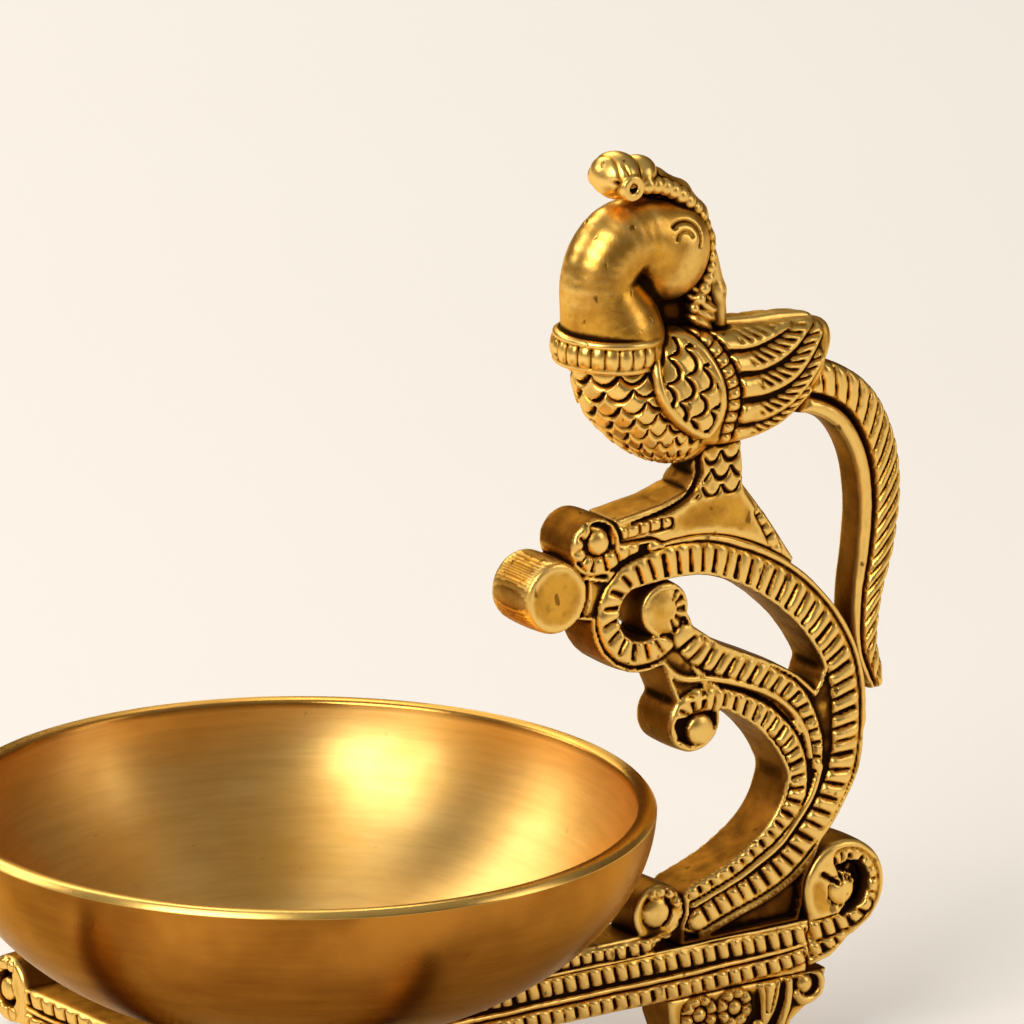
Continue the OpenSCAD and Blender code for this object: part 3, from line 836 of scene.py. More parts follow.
def beam_arm(reach, upper):
    """The field of one arm of the long beam, drawn to the right, from the middle out."""
    low, high = cad("long_beam")
    r = Relief((0, low[2]), (high[0] + 3.5, high[2]), HALF, step=FINE, seed=21, wander=0.08)
    r.edge = np.maximum.reduce([r.gx - reach, low[2] - r.gz, r.gz - 22.2, -r.gx - 2])
    r.face[:] = FLOOR
    r.ribs([[0, 20.1, 3.2], [60, 20.1, 3.2], [88, 20.0, 3.2], [97, 20.2, 3.2]],
           TOP, FLOOR, PITCH, 0.3, 1, join=1)
    r.ridge([[0, 17.6, 1.0], [60, 17.5, 1.0], [80, 17.7, 1.0], [97, 18.4, 1.0]], TOP - 0.2, FLOOR)
    r.ribs([[0, 15.2, 2.9], [60, 15.2, 2.9], [82, 15.5, 2.9], [90, 16.2, 2.7], [97, 17.4, 2.2]],
           TOP, FLOOR, PITCH, 0.3, 2, join=1)
    r.ridge([[0, 22.1, 0.9], [97, 22.1, 0.9]], TOP - 0.15, FLOOR)
    if upper:
        pad = np.maximum.reduce([r.gx - 64, 27 - r.gx, 20 - r.gz, r.gz - 25.2])
        r.edge = smooth_min(r.edge, pad, 0.4)
        r.add_disc(SCROLL, 4.6, 0.4)
        r.ribs([[27, 23.7, 2.2], [52.9, 23.6, 2.2], [60, 23.4, 2.2], [66, 24.2, 2.2], [69.2, 26.6, 2.0],
                [69.0, 29.6, 1.8], [66.6, 32, 1.6]], TOP - 0.1, FLOOR, 2.2, 0.2, 3, join=1)
        r.level(np.maximum(r.radius(SCROLL) - 4.4, 24.6 - r.gz), FLOOR, 0.3)
        r.ribs(arc(SCROLL, 3.3, 20, 110, 1.8), TOP - 0.1, FLOOR, 1.9, seed=5)
        r.dome((64.3, 28.6), 2.5, TOP + 0.1, 1.0)
        r.groove(arc(SCROLL, 2.2, -60, 60, 1.0), 0.9)
    r.roughen(0.05)
    return r, r.field(rounding=0.6, draft=0.15)


def long_beam():
    low, high = cad("long_beam")
    r, right = beam_arm(high[0], True)
    _, left = beam_arm(-low[0], False)
    middle = int(round(1.5 / r.step))
    first = r.x[middle] - r.x[-1]
    field = np.concatenate([left[middle + 1:][::-1], right[middle:]])
    gx, gy, gz = np.meshgrid(first + r.step * np.arange(len(field)), r.y, r.z, indexing="ij")
    around = np.hypot(gx, gy)
    seat = smooth_max(around - 21.55, 20.5 - gz, 0.3)
    field = smooth_max(field, -seat, 0.3)
    field = np.maximum(field, 2.15 - around)
    return field_piece("long_beam", field, np.array([first, r.y[0], r.z[0]]), r.step, r.brown_rough)


def volute():
    """A rolled end with a comma-shaped hollow and a few ribs."""
    low, high = cad("right_volute")
    centre, radius = VOLUTE, 7.6
    r = Relief((low[0], low[2]), (high[0], high[2]), HALF, step=FINE, seed=31, wander=0.06)
    r.add_disc(centre, radius, 0.3)
    r.add_polygon([[93, 14.3], [97, 15.3], [104.8, 20.7], [99.6, 25.5], [93, 22.2]], 0.8)
    r.edge = np.maximum(r.edge, low[0] - r.gx)
    r.face[:] = TOP - 0.15
    r.ribs(arc(centre, radius - 2.5, -80, 100, 3.0, end_width=2.2, count=20),
           TOP - 0.1, FLOOR + 0.25, 2.1, 0.1, 1, join=-1)
    r.ribs([[92, 20.0, 3.2], [96.5, 20.3, 3.2], [101, 21.0, 2.8], [103.6, 22.6, 2.4]],
           TOP, FLOOR, PITCH, 0.3, 2, join=1)
    r.ribs([[92, 16.6, 2.4], [96, 17.4, 2.0], [100, 18.6, 1.4]], TOP, FLOOR, PITCH, 0.3, 3, join=1)
    dist, _, _, width = r.near([
        [98.9, 29.4, 0.9], [101.6, 29.0, 2.0], [102.9, 26.8, 2.6], [102.2, 24.0, 2.2], [99.6, 22.3, 1.2]])
    r.level(dist - width / 2, 1.6, 0.3)
    r.dome((98.9, 25.9), 2.6, TOP + 0.05, 0.9)
    for spin in (50, 80, 112, 146):
        c, s = math.cos(math.radians(spin)), math.sin(math.radians(spin))
        r.groove([[centre[0] + 1.5 * c, centre[1] + 1.5 * s, 0.7],
                  [centre[0] + 5 * c, centre[1] + 5 * s, 0.9]], 0.8)
    r.roughen(0.05)
    return r.mesh("volute", rounding=0.9)


def long_foot():
    low, high = cad("right_foot")
    r = Relief((low[0], low[2]), (high[0], high[2]), HALF, step=FINE, seed=41, wander=0.06)
    top = high[2]
    r.add_polygon([[66.6, top], [66.9, 10], [68.6, 5], [70.6, 1.8], [72.4, 0.02], [86.6, 0.02], [88.4, 1.8],
                   [90, 6], [93, 8], [95.6, 9.6], [96.7, top]])
    r.face[:] = FLOOR
    for x, z, size, spin in ((72.3, 10.3, 3.1, 1), (79.0, 10.3, 3.1, -1)):
        r.ribs(arc((x, z), size - 0.7, 90 - 165 * spin, 90 + 165 * spin, 1.7),
               TOP, FLOOR - 0.2, 1.9, seed=int(x))
        r.dome((x, z), 1.2, TOP - 0.1, 0.8)
    r.ridge(arc((92.9, 11.4), 2.4, -150, 130, 1.8, end_width=1.2), TOP, FLOOR)
    r.dome((92.2, 11.6), 1.5, TOP - 0.1, 0.9)
    r.ridge([[89.2, 12.8, 1.4], [89.0, 9.6, 1.6], [87.6, 6.0, 1.6], [86.4, 3.0, 1.4]], TOP - 0.1, FLOOR)
    r.ridge([[85.6, 12.6, 4.2], [85.4, 10, 3.6], [84.6, 7.2, 2.0]], TOP, FLOOR)
    r.groove([[84.6, 13, 0.5], [84.8, 8.5, 0.4]], 0.5)
    r.groove([[86.8, 13, 0.5], [85.6, 8.5, 0.4]], 0.5)
    for x, tip in ((72.6, 74.6), (78.4, 78.6), (83.6, 82.4)):
        r.ridge([[x, 6.2, 3.0], [tip, 3.8, 2.6], [tip, 1.3, 1.8]], TOP, FLOOR)
    r.roughen(0.05)
    field = r.field(rounding=0.7, draft=0.15)
    gx, gy, gz = np.meshgrid(r.x, r.y, r.z, indexing="ij")
    for x in (76, 83):
        around = np.hypot(gx - x, gy)
        recess = np.minimum(np.maximum(around - 3.0, gz - 4), around - 1.6)
        field = smooth_max(field, -recess, 0.2)
    field = np.maximum.reduce([field, gz - top + 0.02, 0.04 - gz])
    return r.mesh("foot", field)


def cross_beam():
    """Drawn with the beam's length along x, and turned a quarter round afterwards."""
    low, high = cad("cross_beam")
    half_long = high[1]
    r = Relief((0, low[2]), (half_long, 9.8), HALF, step=FINE, seed=51, wander=0.08)
    r.edge = np.maximum.reduce([r.gx - half_long, low[2] - r.gz, r.gz - 9.8, -r.gx - 2])
    r.face[:] = FLOOR
    r.ribs([[0, 8.35, 2.6], [70, 8.35, 2.6]], TOP, FLOOR, 3.3, -0.2, 1, join=1)
    r.ridge([[0, 6.35, 0.9], [70, 6.35, 0.9]], TOP - 0.2, FLOOR)
    r.ribs([[0, 4.5, 2.3], [70, 4.5, 2.3]], TOP, FLOOR, 3.3, 0.2, 2, join=1)
    r.ridge([[0, 2.6, 0.9], [70, 2.6, 0.9]], TOP - 0.2, FLOOR)
    r.roughen(0.06)
    half = r.field(rounding=0.6, draft=0.15)
    keep = r.x >= 0.5 * r.step
    field = np.concatenate([half[keep][::-1], half[keep]])
    last = r.x[keep][-1]
    spacing = 2 * last / (len(field) - 1)
    xs = -last + spacing * np.arange(len(field))
    gx, gy, gz = np.meshgrid(xs, r.y, r.z, indexing="ij")
    around = np.hypot(gx, gy)
    field = np.maximum(field, 2.15 - around)
    field = smooth_max(field, -np.maximum(around - 5, gz - 6.5), 0.2)
    return field_piece("cross_beam", field, np.array([-last, r.y[0], r.z[0]]), r.step, r.brown_rough)


def cross_volute():
    low, high = cad("rear_volute")
    radius = 5.4
    centre = (high[1] - radius, low[2] + 5.4)
    r = Relief((low[1], low[2]), (high[1], high[2]), HALF, step=FINE, seed=61, wander=0.06)
    inner = low[1]
    r.add_disc(centre, radius, 0.3)
    r.add_polygon([[inner, 3.2], [inner + 4, 3.4], [inner + 4, 9], [inner, 9.8]], 0.5)
    r.edge = smooth_max(r.edge, inner - r.gx, 0.2)
    r.face[:] = TOP - 0.15
    r.ribs(arc(centre, radius - 1.5, -110, 100, 2.2, count=20), TOP, FLOOR, 2.5, seed=1)
    dist, _, _, width = r.near(arc(centre, 2.3, -150, 110, 1.0, end_width=1.4))
    r.level(dist - width / 2, 2.6, 0.3)
    r.dome(centre, 1.9, TOP, 0.9)
    r.roughen(0.05)
    return r.mesh("cross_volute", rounding=0.9)


def cross_foot():
    low, high = cad("rear_foot")
    r = Relief((low[1], low[2]), (high[1], high[2]), HALF, step=FINE, seed=71, wander=0.03)
    top = high[2]
    r.add_polygon([[42, top + 0.5], [44, 0.4], [45, 0.02], [60, 0.02], [61, 0.4], [63, top + 0.5]], 0.4)
    r.edge = np.maximum.reduce([r.edge, r.gz - top + 0.01, 0.15 - r.gz])
    return r.mesh("cross_foot", rounding=0.6)


# ---------------------------------------------------------------- tail plume

TAIL = curve([
    [88, 106.8, 7], [95, 107.5, 8.4], [101.7, 103.9, 8.6], [106.0, 97.2, 8.4], [107.6, 89, 8.0],
    [106.9, 80, 7.2], [105.2, 72, 5.8], [104.8, 64.5, 4.8], [106.2, 59.8, 4], [106.9, 57.9, 2.8]])


def past_rump(gx, gz):
    """Distance past the slanting joint between the bird's rump and its tail."""
    lean = math.radians(27)
    return (gx - 94.5) * math.cos(lean) - (gz - 107.7) * math.sin(lean)


def tail():
    low, high = cad("tail")
    half = high[1]
    r = Relief((low[0], low[2]), (high[0], high[2]), half, step=FINE, seed=81, wander=0.12)
    r.add_band(TAIL)
    dist, _, _, width = r.near(ARCH)
    r.edge = smooth_max(r.edge, width / 2 + 0.05 - dist, 0.3)
    r.edge = smooth_max(r.edge, -past_rump(r.gx, r.gz), 0.3)
    _, side, along, width = r.near(TAIL)
    share = np.clip(side / width + 0.5, 0, 1)
    r.face[:] = half - 0.9
    lean = 0.5 + 1.0 * smooth_step(6, 34, along)
    phase = (along + lean * side) / 2.55
    stria = crown(2 * np.abs(off_whole(phase)) / 0.9, 2.6)
    swell = 0.45 * np.clip(1 - (2 * (share - 0.68) / 0.75)**2, 0, 1)
    plume = half - 1.1 + (0.75 * stria + swell) * smooth_step(0.36, 0.44, share)
    r.face = np.where(share > 0.36, plume, r.face)
    rail = crown((share - 0.13) / 0.17)
    r.face = np.where(share < 0.3, half - 0.8 + 0.75 * rail, r.face)
    r.face = r.face - 1.1 * bell(share, 0.345, 0.045) * smooth_step(4, 10, along)
    r.roughen(0.05)
    return r.mesh("tail", rounding=1.0, draft=0.5)


# ---------------------------------------------------------------- bird

def ball_line(p, chain, blend=0.8):
    """Distance to a chain of balls [x, y, z, radius] joined by cones."""
    total = None
    for a, b in zip(chain[:-1], chain[1:]):
        a, b = np.array(a, float), np.array(b, float)
        d = b[:3] - a[:3]
        t = np.clip(sum((p[k] - a[k]) * d[k] for k in range(3)) / (d @ d), 0, 1)
        dist = np.sqrt(sum((p[k] - a[k] - t * d[k])**2 for k in range(3))) - (a[3] + (b[3] - a[3]) * t)
        total = dist if total is None else smooth_min(total, dist, blend)
    return total


def egg(p, centre, size, tilt=0.0):
    """Distance to an ellipsoid, tilted about Y."""
    c, s = math.cos(math.radians(tilt)), math.sin(math.radians(tilt))
    dx, dy, dz = p[0] - centre[0], p[1] - centre[1], p[2] - centre[2]
    u, v, w = (dx * c + dz * s) / size[0], dy / size[1], (dz * c - dx * s) / size[2]
    k0 = np.sqrt(u * u + v * v + w * w)
    k1 = np.sqrt((u / size[0])**2 + (v / size[1])**2 + (w / size[2])**2)
    return k0 * (k0 - 1) / np.maximum(k1, 1e-6)


def scales(a, b, wide, tall, depth):
    """Height of overlapping scales whose tips point along +b, each cut out with a crescent."""
    row = np.floor(b / tall).astype(int)
    reach, down = [], []
    for step_back in (0, 1):
        number = row - step_back
        off = off_whole(a / wide + 0.5 * (number % 2)) * wide
        along = (b - number * tall) / (1.5 * tall)
        reach.append(np.sqrt((off / (0.54 * wide))**2 + along**2))
        down.append(along / np.maximum(reach[-1], 0.1))
    crescent = bell(reach[1], 1.12, 0.12) * (reach[1] > 1) * smooth_step(0.1, 0.6, down[1])
    lift = 0.14 * depth * smooth_step(0.3, 1.0, np.where(reach[1] < 1, reach[1], reach[0]))
    return lift - depth * crescent


WING = [
    (61.0, 120.7), (60.2, 116.9), (60.8, 112.8), (63.2, 109.3), (67.3, 106.1), (71.2, 103.6), (76.1, 102.3),
    (79.5, 102.3), (82.9, 102.8), (86.3, 103.7), (88.8, 105.2), (91.4, 107.2), (94.2, 109.6), (96.0, 112.6),
    (97.6, 115.6), (96.8, 118.4), (92, 119.2), (86, 119.5), (80.4, 120.1), (75, 120.6), (69, 122.3),
    (64.5, 122.8)]
SHOULDER = [
    (61.2, 120.4), (60.4, 116.9), (61.0, 112.8), (63.4, 109.3), (67.3, 106.2), (70.2, 105.2), (71.9, 106.6),
    (73.0, 109.3), (73.2, 112.4), (72.6, 116), (71.0, 119.8), (68.6, 122.2), (65.0, 123.2), (62.5, 122.6)]


def closed(points):
    """A smooth closed outline through x, z points."""
    return curve(points + points[:1], 4)[:-1]


def wing_relief(low, high):
    """Half the width of the bird's wings on an x, z map, with feathers, scales and beads."""
    r = Relief((low[0], 99), (high[0], 125), 10, step=FINEST, seed=91, wander=0.12)
    r.edge = r.within(closed(WING))
    spread = 9.4 * np.sqrt(np.clip(1 - ((r.gz - 111) / 12.3)**2, 0.04, 1))
    spread = spread - 0.085 * np.clip(r.gx - 74, 0, None)**1.2
    r.face = spread - 0.9
    feathers = [
        [[72.5, 121.4, 2.2], [78, 120.6, 2.6], [84, 120.9, 2.6], [91, 121.2, 2]],
        [[75.6, 119.4, 2.6], [81, 118.9, 3.0], [87, 119.6, 2.8], [93.6, 120.6, 2]],
        [[77.2, 115.9, 2.9], [82, 115.5, 3.2], [87.6, 116.6, 3], [93.8, 119.6, 2.4]],
        [[78.4, 111.8, 3.4], [83, 111.7, 3.5], [88.4, 112.8, 3.2], [94.4, 117.4, 2.4]],
        [[78.6, 107.5, 3.4], [83.4, 107.3, 3.4], [88.4, 108.8, 3.0], [93.8, 113.4, 2.2]],
        [[77.6, 104.0, 2.6], [82.6, 103.9, 2.6], [87.2, 105.3, 2.4], [91.6, 108.6, 1.8]]]
    for points in feathers:
        dist, side, along, width = r.near(points)
        barb = np.clip(1 - (2 * np.abs(off_whole((along + 1.3 * side) / 1.8)) / 0.85)**3, 0, 1)
        barbs = smooth_step(1.5, 4, along) * smooth_step(0.28, 0.5, side / width + 0.5)
        height = spread - 1.0 + crown(2 * dist / width, 3) * (1.1 - 0.75 * barbs * (1 - barb))
        r.face = np.where(dist < width / 2, height, r.face)
    dist, _, along, width = r.near([
        [69.6, 122.3, 2.0], [71.8, 120.9, 2.1], [73.6, 118.6, 2.2], [75.0, 115.4, 2.2],
        [75.9, 112.2, 2.2], [76.0, 109.0, 2.2], [75.4, 106.2, 2.1], [75.4, 103.6, 1.8]])
    bead = crown(2 * np.abs(off_whole(along / 1.9)) / 0.9) * crown(2 * dist / width)
    r.face = np.where(dist < width / 2 + 0.5, spread - 1.1 + 0.9 * bead, r.face)
    shoulder = r.within(closed(SHOULDER))
    tilt = math.radians(-22)
    b = (r.gx - 66) * math.cos(tilt) + (r.gz - 114) * math.sin(tilt)
    a = -(r.gx - 66) * math.sin(tilt) + (r.gz - 114) * math.cos(tilt)
    scaled = spread + 0.75 + scales(a, b + 40, 4.0, 3.0, 1.1)
    swell = 0.5 * smooth_step(0, -4, shoulder)
    inner = smooth_step(-1.3, -1.7, shoulder)
    ring = crown((shoulder + 0.8) / 0.9)
    heights = (scaled + swell) * inner + (spread + 0.2 + 0.9 * ring) * (1 - inner)
    r.face = np.where(shoulder < 0, heights, r.face)
    r.face = np.where((shoulder > 0) & (shoulder < 0.9), np.minimum(r.face, spread - 1.0), r.face)
    r.roughen(0.05)
    return r


THROAT = [(62, 119), (64.6, 128.4), (66.6, 130.4), (71, 129), (74.6, 130), (76.6, 124), (76.8, 119)]


def bird_cast_skin_and_shade(verts, normals):
    """The hollow between neck and beak is painted dark as shade, and the sides of the saddle are left as
    cast.
    """
    throat = smooth_step(0.8, -0.4, inside_polygon(THROAT, verts[:, 0], verts[:, 2]))
    throat = throat * smooth_step(3.9, 3.1, np.abs(verts[:, 1]))
    saddle = smooth_step(0.75, 0.3, np.abs(normals[:, 1])) * smooth_step(100, 98, verts[:, 2])
    return np.clip(throat + 0.8 * saddle, 0, 1)


def bird():
    low, high = cad("bird")
    step = FINEST
    x = np.arange(low[0] - 2, high[0] + 2, step)
    y = np.arange(-11.4, 11.4 + step / 2, step)
    z = np.arange(low[2] - 2, high[2] + 2, step)
    gx, gy, gz = np.meshgrid(x, y, z, indexing="ij")
    ay = np.abs(gy)
    p = (gx, gy, gz)
    side = (gx, ay, gz)

    # Breast and belly, with rows of scales that point down
    body = egg(p, (64.6, 0, 111.6), (14.8, 9.1, 9.0), -44)
    body = smooth_min(body, egg(p, (79, 0, 111), (13.5, 7.6, 8.0), -8), 2)
    body = smooth_min(body, ball_line(p, [[60.4, 0, 117, 7.0], [61, 0, 114, 7.4]]), 1.5)
    body = smooth_max(body, gz - 121.5, 2)
    turn = np.arctan2(gy, 68 - gx)
    fall = np.arctan2(118.5 - gz, np.hypot(gx - 68, gy))
    pattern = scales(turn * 11.5, fall * 13.5 + 30, 3.5, 2.4, 0.9)
    where = smooth_step(0.02, 0.12, fall) * smooth_step(2.05, 1.75, np.abs(turn))
    body = body - pattern * where

    # Wings
    wing = wing_relief(low, high)
    face, edge = (wing.sampled(values, gx[:, :1, :], gz[:, :1, :]) for values in (wing.face, wing.edge))
    plate = smooth_max(ay - face, edge, 1.3)
    back = np.maximum.reduce([ay - 1.6 + 0.3 * np.clip(121 - gz, 0, 20), 80 - gx, 116 - gz])
    plate = smooth_max(plate, -back, 0.6)
    shape = smooth_min(body, plate, 0.3)

    # Leg block, feet and the saddle they stand on
    legs = Relief((low[0], low[2]), (high[0], 106), 4.5, step=FINEST, seed=95)
    legs.add_polygon([
        [69.5, 104], [71.8, 101], [71.9, 97.9], [70.4, 95.6], [65.5, 94.2], [56.4, 93.2], [56, 88],
        [64, 82], [88, 76], [90.4, 81.2], [85.0, 89.4], [80.6, 95.2], [80.2, 104]], 0.6)
    for path in (ARCH, CURL_STEM):
        dist, _, _, width = legs.near(path)
        legs.edge = smooth_max(legs.edge, width / 2 + 0.04 - dist, 0.2)
    legs.edge = smooth_max(legs.edge, 5.24 - legs.radius(TOP_CURL), 0.2)
    under = legs.within([[50, 70], [50, 90], [56, 89.4], [70, 86], [90, 76], [90, 60]])
    legs.edge = smooth_max(legs.edge, 0.02 - under, 0.2)
    legs.face[:] = 3.9
    shank = legs.within([
        [72.6, 104], [73.0, 98], [72.2, 95.2], [66, 92.6], [60, 91.2], [66, 88],
        [80, 84.6], [87, 82.4], [84.6, 88], [80.6, 94], [80, 104]])
    legs.level(shank, 4.5, 0.3)
    leg_scales = scales(legs.gx - 76.4 + 1.9, 104 - legs.gz, 3.7, 2.7, 0.6)
    on_leg = smooth_step(93.6, 94.6, legs.gz) * smooth_step(0.1, -0.6, shank)
    legs.face = legs.face + leg_scales * on_leg
    legs.groove([[72.2, 101, 1.0], [72.3, 97.8, 1.0], [70.4, 94.8, 1.0],
                 [65.6, 93, 0.8], [60, 92.2, 0.6]], 0.8)
    legs.ribs([[58, 91.0, 2.0], [62.5, 91.2, 2.0], [66.4, 91.2, 1.6]], 4.5, 3.7, 2.1, seed=2)
    legs.ribs([[87, 82.9, 2.2], [85.4, 86.6, 2.0], [83.4, 90, 1.4]], 4.4, 3.7, 2.1, seed=3)
    legs.roughen(0.05)
    leg_x = np.clip(np.searchsorted(legs.x, x), 0, len(legs.x) - 1)
    leg_z = np.clip(np.searchsorted(legs.z, z), 0, len(legs.z) - 1)
    face, edge = legs.face[np.ix_(leg_x, leg_z)], legs.edge[np.ix_(leg_x, leg_z)]
    block = smooth_max(ay - face[:, None, :], np.maximum(edge[:, None, :], gz - 104), 0.7)
    shape = smooth_min(shape, block, 0.4)

    # Neck bent over into an egg-shaped head
    bend = curve([
        [59, 0, 118.5, 8.5], [58.5, 0, 122.7, 7.9], [57.1, 0, 126.7, 6.8], [56.1, 0, 130.4, 6.0],
        [57.1, 0, 134.0, 5.9], [59.9, 0, 136.5, 6.1], [63.7, 0, 137.1, 6.3]], 3)
    neck = smooth_max(ball_line(p, bend, 0.1), 119 - gz, 0.5)
    head = smooth_min(neck, egg(p, (68.5, 0, 134.3), (7.1, 7.0, 8.4), -8), 2)
    eye_x, eye_z = gx - 67.9, gz - 137.0
    angle = np.degrees(np.arctan2(eye_z, eye_x))
    brow = np.hypot(eye_x, eye_z * 1.15)
    carved = bell(brow, 3.1, 0.34) * (angle > -30) * (angle < 135)
    carved = carved + 0.7 * bell(brow, 1.5, 0.3) * (angle > 0)
    head = head + 0.3 * carved * smooth_step(2.6, 3.8, ay)
    shape = smooth_min(shape, head, 0.3)

    # Beak, tucked down on to the back
    beak = ball_line(side, [[71.6, 2.8, 127.6, 1.2], [73.2, 2.9, 123.8, 2.3], [74.0, 2.4, 121.0, 1.5]])
    beak = beak + 0.22 * np.cos(2 * math.pi * (gz + 0.6 * gx) / 1.7)
    outer = ball_line(side, [[76.2, 0.6, 131.5, 1.6], [77.2, 0.9, 126, 1.8], [77.0, 0.9, 120, 2.2]])
    outline = inside_polygon(THROAT, gx[:, 0, :], gz[:, 0, :])[:, None, :]
    throat = smooth_max(ay - 2.2, outline, 0.8)
    beak = np.minimum(np.minimum(beak, outer), throat)
    shape = smooth_min(shape, beak, 0.3)

    # Beaded cord from the crest down the forehead, over a smooth rib behind it
    chain = curve([
        [62.6, 2.8, 146.0, 1.7], [66.0, 2.8, 145.2, 1.6], [69.4, 2.8, 143.2, 1.6],
        [72.2, 2.8, 140.4, 1.6], [74.0, 2.9, 136.8, 1.5], [74.8, 3.0, 133.0, 1.4],
        [74.4, 3.4, 129.6, 1.3], [72.6, 4.0, 126.8, 1.2], [70.9, 4.4, 125.0, 1.0]], 8)
    length = np.concatenate([[0], np.cumsum(np.linalg.norm(np.diff(chain[:, :3], axis=0), axis=1))])
    for at in np.arange(0.6, length[-1], 1.75):
        bead = [np.interp(at, length, chain[:, k]) for k in range(4)]
        dist = np.sqrt((gx - bead[0])**2 + (ay - bead[1])**2 + (gz - bead[2])**2) - bead[3] * 0.86
        shape = smooth_min(shape, dist, 0.25)
    rib = ball_line(p, [
        [62, 0, 146.6, 2.0], [66.2, 0, 145.2, 2.2], [70.6, 0, 142.4, 2.3],
        [73.7, 0, 138.6, 2.3], [75.3, 0, 134.2, 2.2], [75.7, 0, 130.2, 2.0]])
    shape = smooth_min(shape, rib, 0.35)

    # Crest: a rolled-over knob with a small curl under it on each side
    knob = egg(p, (59.4, 0, 147.4), (3.9, 4.6, 3.7))
    crest = smooth_min(knob, egg(p, (63, 0, 147.2), (3.2, 3.6, 2.6), 20), 0.5)
    crest = crest + 0.45 * bell(gx - 0.25 * (gz - 147), 61.4, 0.35)
    crest = crest + 0.25 * bell(gx - 0.15 * (gz - 147), 57.3, 0.3)
    reach = np.hypot(gx - 59.4, gz - 146.4)
    petals = 7 * np.arctan2(gz - 146.4, gx - 59.4) / (2 * math.pi)
    folds = bell(off_whole(petals), 0, 0.09)
    crest = crest + 0.4 * folds * smooth_step(1.8, 2.2, reach) * smooth_step(2.6, 3.6, ay)
    curl = smooth_max(np.abs(reach - 1.4) - 0.65, ay - 5.0, 0.4)
    crest = np.maximum(crest, np.minimum(4.2 - ay, 1.5 - reach))
    crest = smooth_min(crest, curl, 0.2)
    shape = smooth_min(shape, crest, 0.4)

    # Collar, fluted between two plain rims
    tilt = math.radians(-4)
    cx = (gx - 57.8) * math.cos(tilt) + (gz - 120.2) * math.sin(tilt)
    cz = -(gx - 57.8) * math.sin(tilt) + (gz - 120.2) * math.cos(tilt)
    radius = np.hypot(cx, gy)
    flutes = 24 * np.arctan2(gy, cx) / (2 * math.pi)
    flute = 0.5 * (crown(2 * off_whole(flutes) / 0.95) - 0.4)
    middle = smooth_max(radius - 8.2 - flute - 0.5 * (1 - (cz / 1.8)**2), np.abs(cz) - 1.8, 0.5)
    upper = np.hypot(radius - 7.7, (cz - 1.95) * 1.3) - 0.95
    lower = np.hypot(radius - 7.6, (cz + 2.0) * 1.3) - 0.9
    collar = np.minimum(np.minimum(middle, upper), lower)
    shape = smooth_min(shape, collar, 0.25)

    # Room for the tail at the rump, and for the dowel
    rump = np.minimum.reduce([past_rump(gx, gz), 112.5 - gz, gz - 99])
    shape = smooth_max(shape, rump, 0.2)
    dowel = np.maximum(np.hypot(gx - 76.5, gy) - 1.52, gz - 97)
    shape = np.maximum(shape, -dowel)
    return field_piece("bird", shape, np.array([x[0], y[0], z[0]]), step, bird_cast_skin_and_shade)


# ---------------------------------------------------------------- put together

add_piece("bracket_cast", bracket(), BRASS, ["bracket"])
add_piece("bird_cast", bird(), BRASS, ["bird"])
add_piece("tail_cast", tail(), BRASS, ["tail"])
foot_mesh = long_foot()
volute_mesh = volute()
left_shift = cad("right_volute")[1][0] + cad("left_volute")[0][0]
for side, turn, move in (("right", 0.0, 0.0), ("left", math.pi, left_shift)):
    add_piece(side + "_foot_cast", foot_mesh, BRASS, [side + "_foot"], turn=turn, move=move)
    add_piece(side + "_volute_cast", volute_mesh, BRASS, [side + "_volute"], turn=turn, move=move)
add_piece("long_beam_cast", long_beam(), BRASS, ["long_beam"])
cross_mesh = cross_beam()
add_piece("cross_beam_cast", cross_mesh, BRASS, ["cross_beam"], turn=math.pi / 2)
cross_volute_mesh = cross_volute()
cross_foot_mesh = cross_foot()
for side, turn in (("rear", math.pi / 2), ("front", -math.pi / 2)):
    add_piece(side + "_volute_cast", cross_volute_mesh, BRASS, [side + "_volute"], turn=turn)
    add_piece(side + "_foot_cast", cross_foot_mesh, BRASS, [side + "_foot"], turn=turn)


# ---------------------------------------------------------------- floor and light

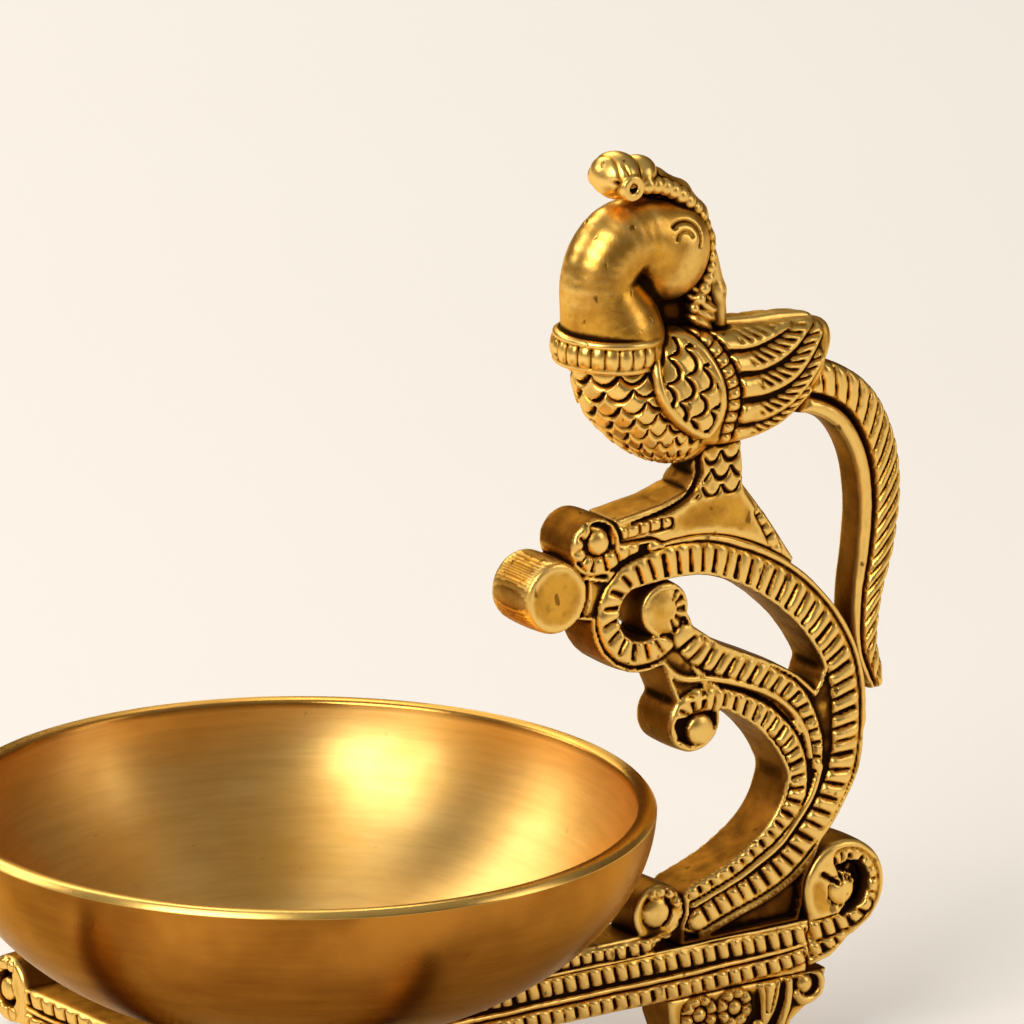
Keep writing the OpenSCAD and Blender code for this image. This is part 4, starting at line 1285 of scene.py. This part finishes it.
def floor():
    mesh = bpy.data.meshes.new("floor")
    size = 3.0
    corners = [(-size, -size, 0), (size, -size, 0), (size, size, 0), (-size, size, 0)]
    mesh.from_pydata(corners, [], [(0, 1, 2, 3)])
    obj = bpy.data.objects.new("floor", mesh)
    bpy.context.scene.collection.objects.link(obj)
    material, tree, shader = node_tree("pale_floor")
    grain = texture(tree, "ShaderNodeTexNoise", 6, Detail=2.0)
    link(tree, mixed(tree, grain.outputs["Fac"], (0.90, 0.87, 0.84, 1), (0.88, 0.85, 0.81, 1)),
         shader.inputs["Base Color"])
    shader.inputs["Roughness"].default_value = 0.7
    shader.inputs["Emission Color"].default_value = (1.0, 0.95, 0.9, 1)
    shader.inputs["Emission Strength"].default_value = 0.1
    mesh.materials.append(material)


def area_light(name, location, size, power, colour):
    """A soft box that points at the middle of the lamp."""
    light = bpy.data.lights.new(name, "AREA")
    light.shape = "RECTANGLE"
    light.size, light.size_y = size
    light.energy = power
    light.color = colour
    obj = bpy.data.objects.new(name, light)
    bpy.context.scene.collection.objects.link(obj)
    obj.location = location
    away = np.array(location) - np.array([0.03, 0, 0.07])
    yaw = math.atan2(away[0], -away[1])
    pitch = math.acos(away[2] / np.linalg.norm(away))
    obj.rotation_euler = (pitch, 0, yaw)


def world():
    scene_world = bpy.data.worlds.new("studio")
    bpy.context.scene.world = scene_world
    scene_world.use_nodes = True
    tree = scene_world.node_tree
    background = next(n for n in tree.nodes if n.type == "BACKGROUND")
    place = tree.nodes.new("ShaderNodeTexCoord")
    split = tree.nodes.new("ShaderNodeSeparateXYZ")
    link(tree, place.outputs["Generated"], split.inputs["Vector"])
    ramp = tree.nodes.new("ShaderNodeValToRGB")
    link(tree, remap(tree, split.outputs["Z"], -0.1, 1.0, smooth=False), ramp.inputs["Fac"])
    stops = ramp.color_ramp.elements
    stops[0].position, stops[0].color = 0.0, (0.40, 0.26, 0.14, 1)
    stops[1].position, stops[1].color = 1.0, (1.0, 0.96, 0.9, 1)
    middle = stops.new(0.35)
    middle.color = (0.30, 0.21, 0.13, 1)
    link(tree, ramp.outputs["Color"], background.inputs["Color"])
    background.inputs["Strength"].default_value = 0.36


floor()
world()
area_light("key", (-1.12, -0.42, 1.1), (0.95, 1.0), 19.5, (1, 0.95, 0.87))
area_light("fill", (0.9, -0.9, 0.6), (0.5, 0.9), 3, (1, 0.93, 0.85))
area_light("left", (-0.7, 0.95, 0.75), (0.6, 0.6), 4, (1, 0.94, 0.84))
area_light("back", (0.3, 1.1, 0.9), (1.0, 0.5), 6, (1, 0.97, 0.92))
bpy.context.scene.view_settings.view_transform = "Standard"
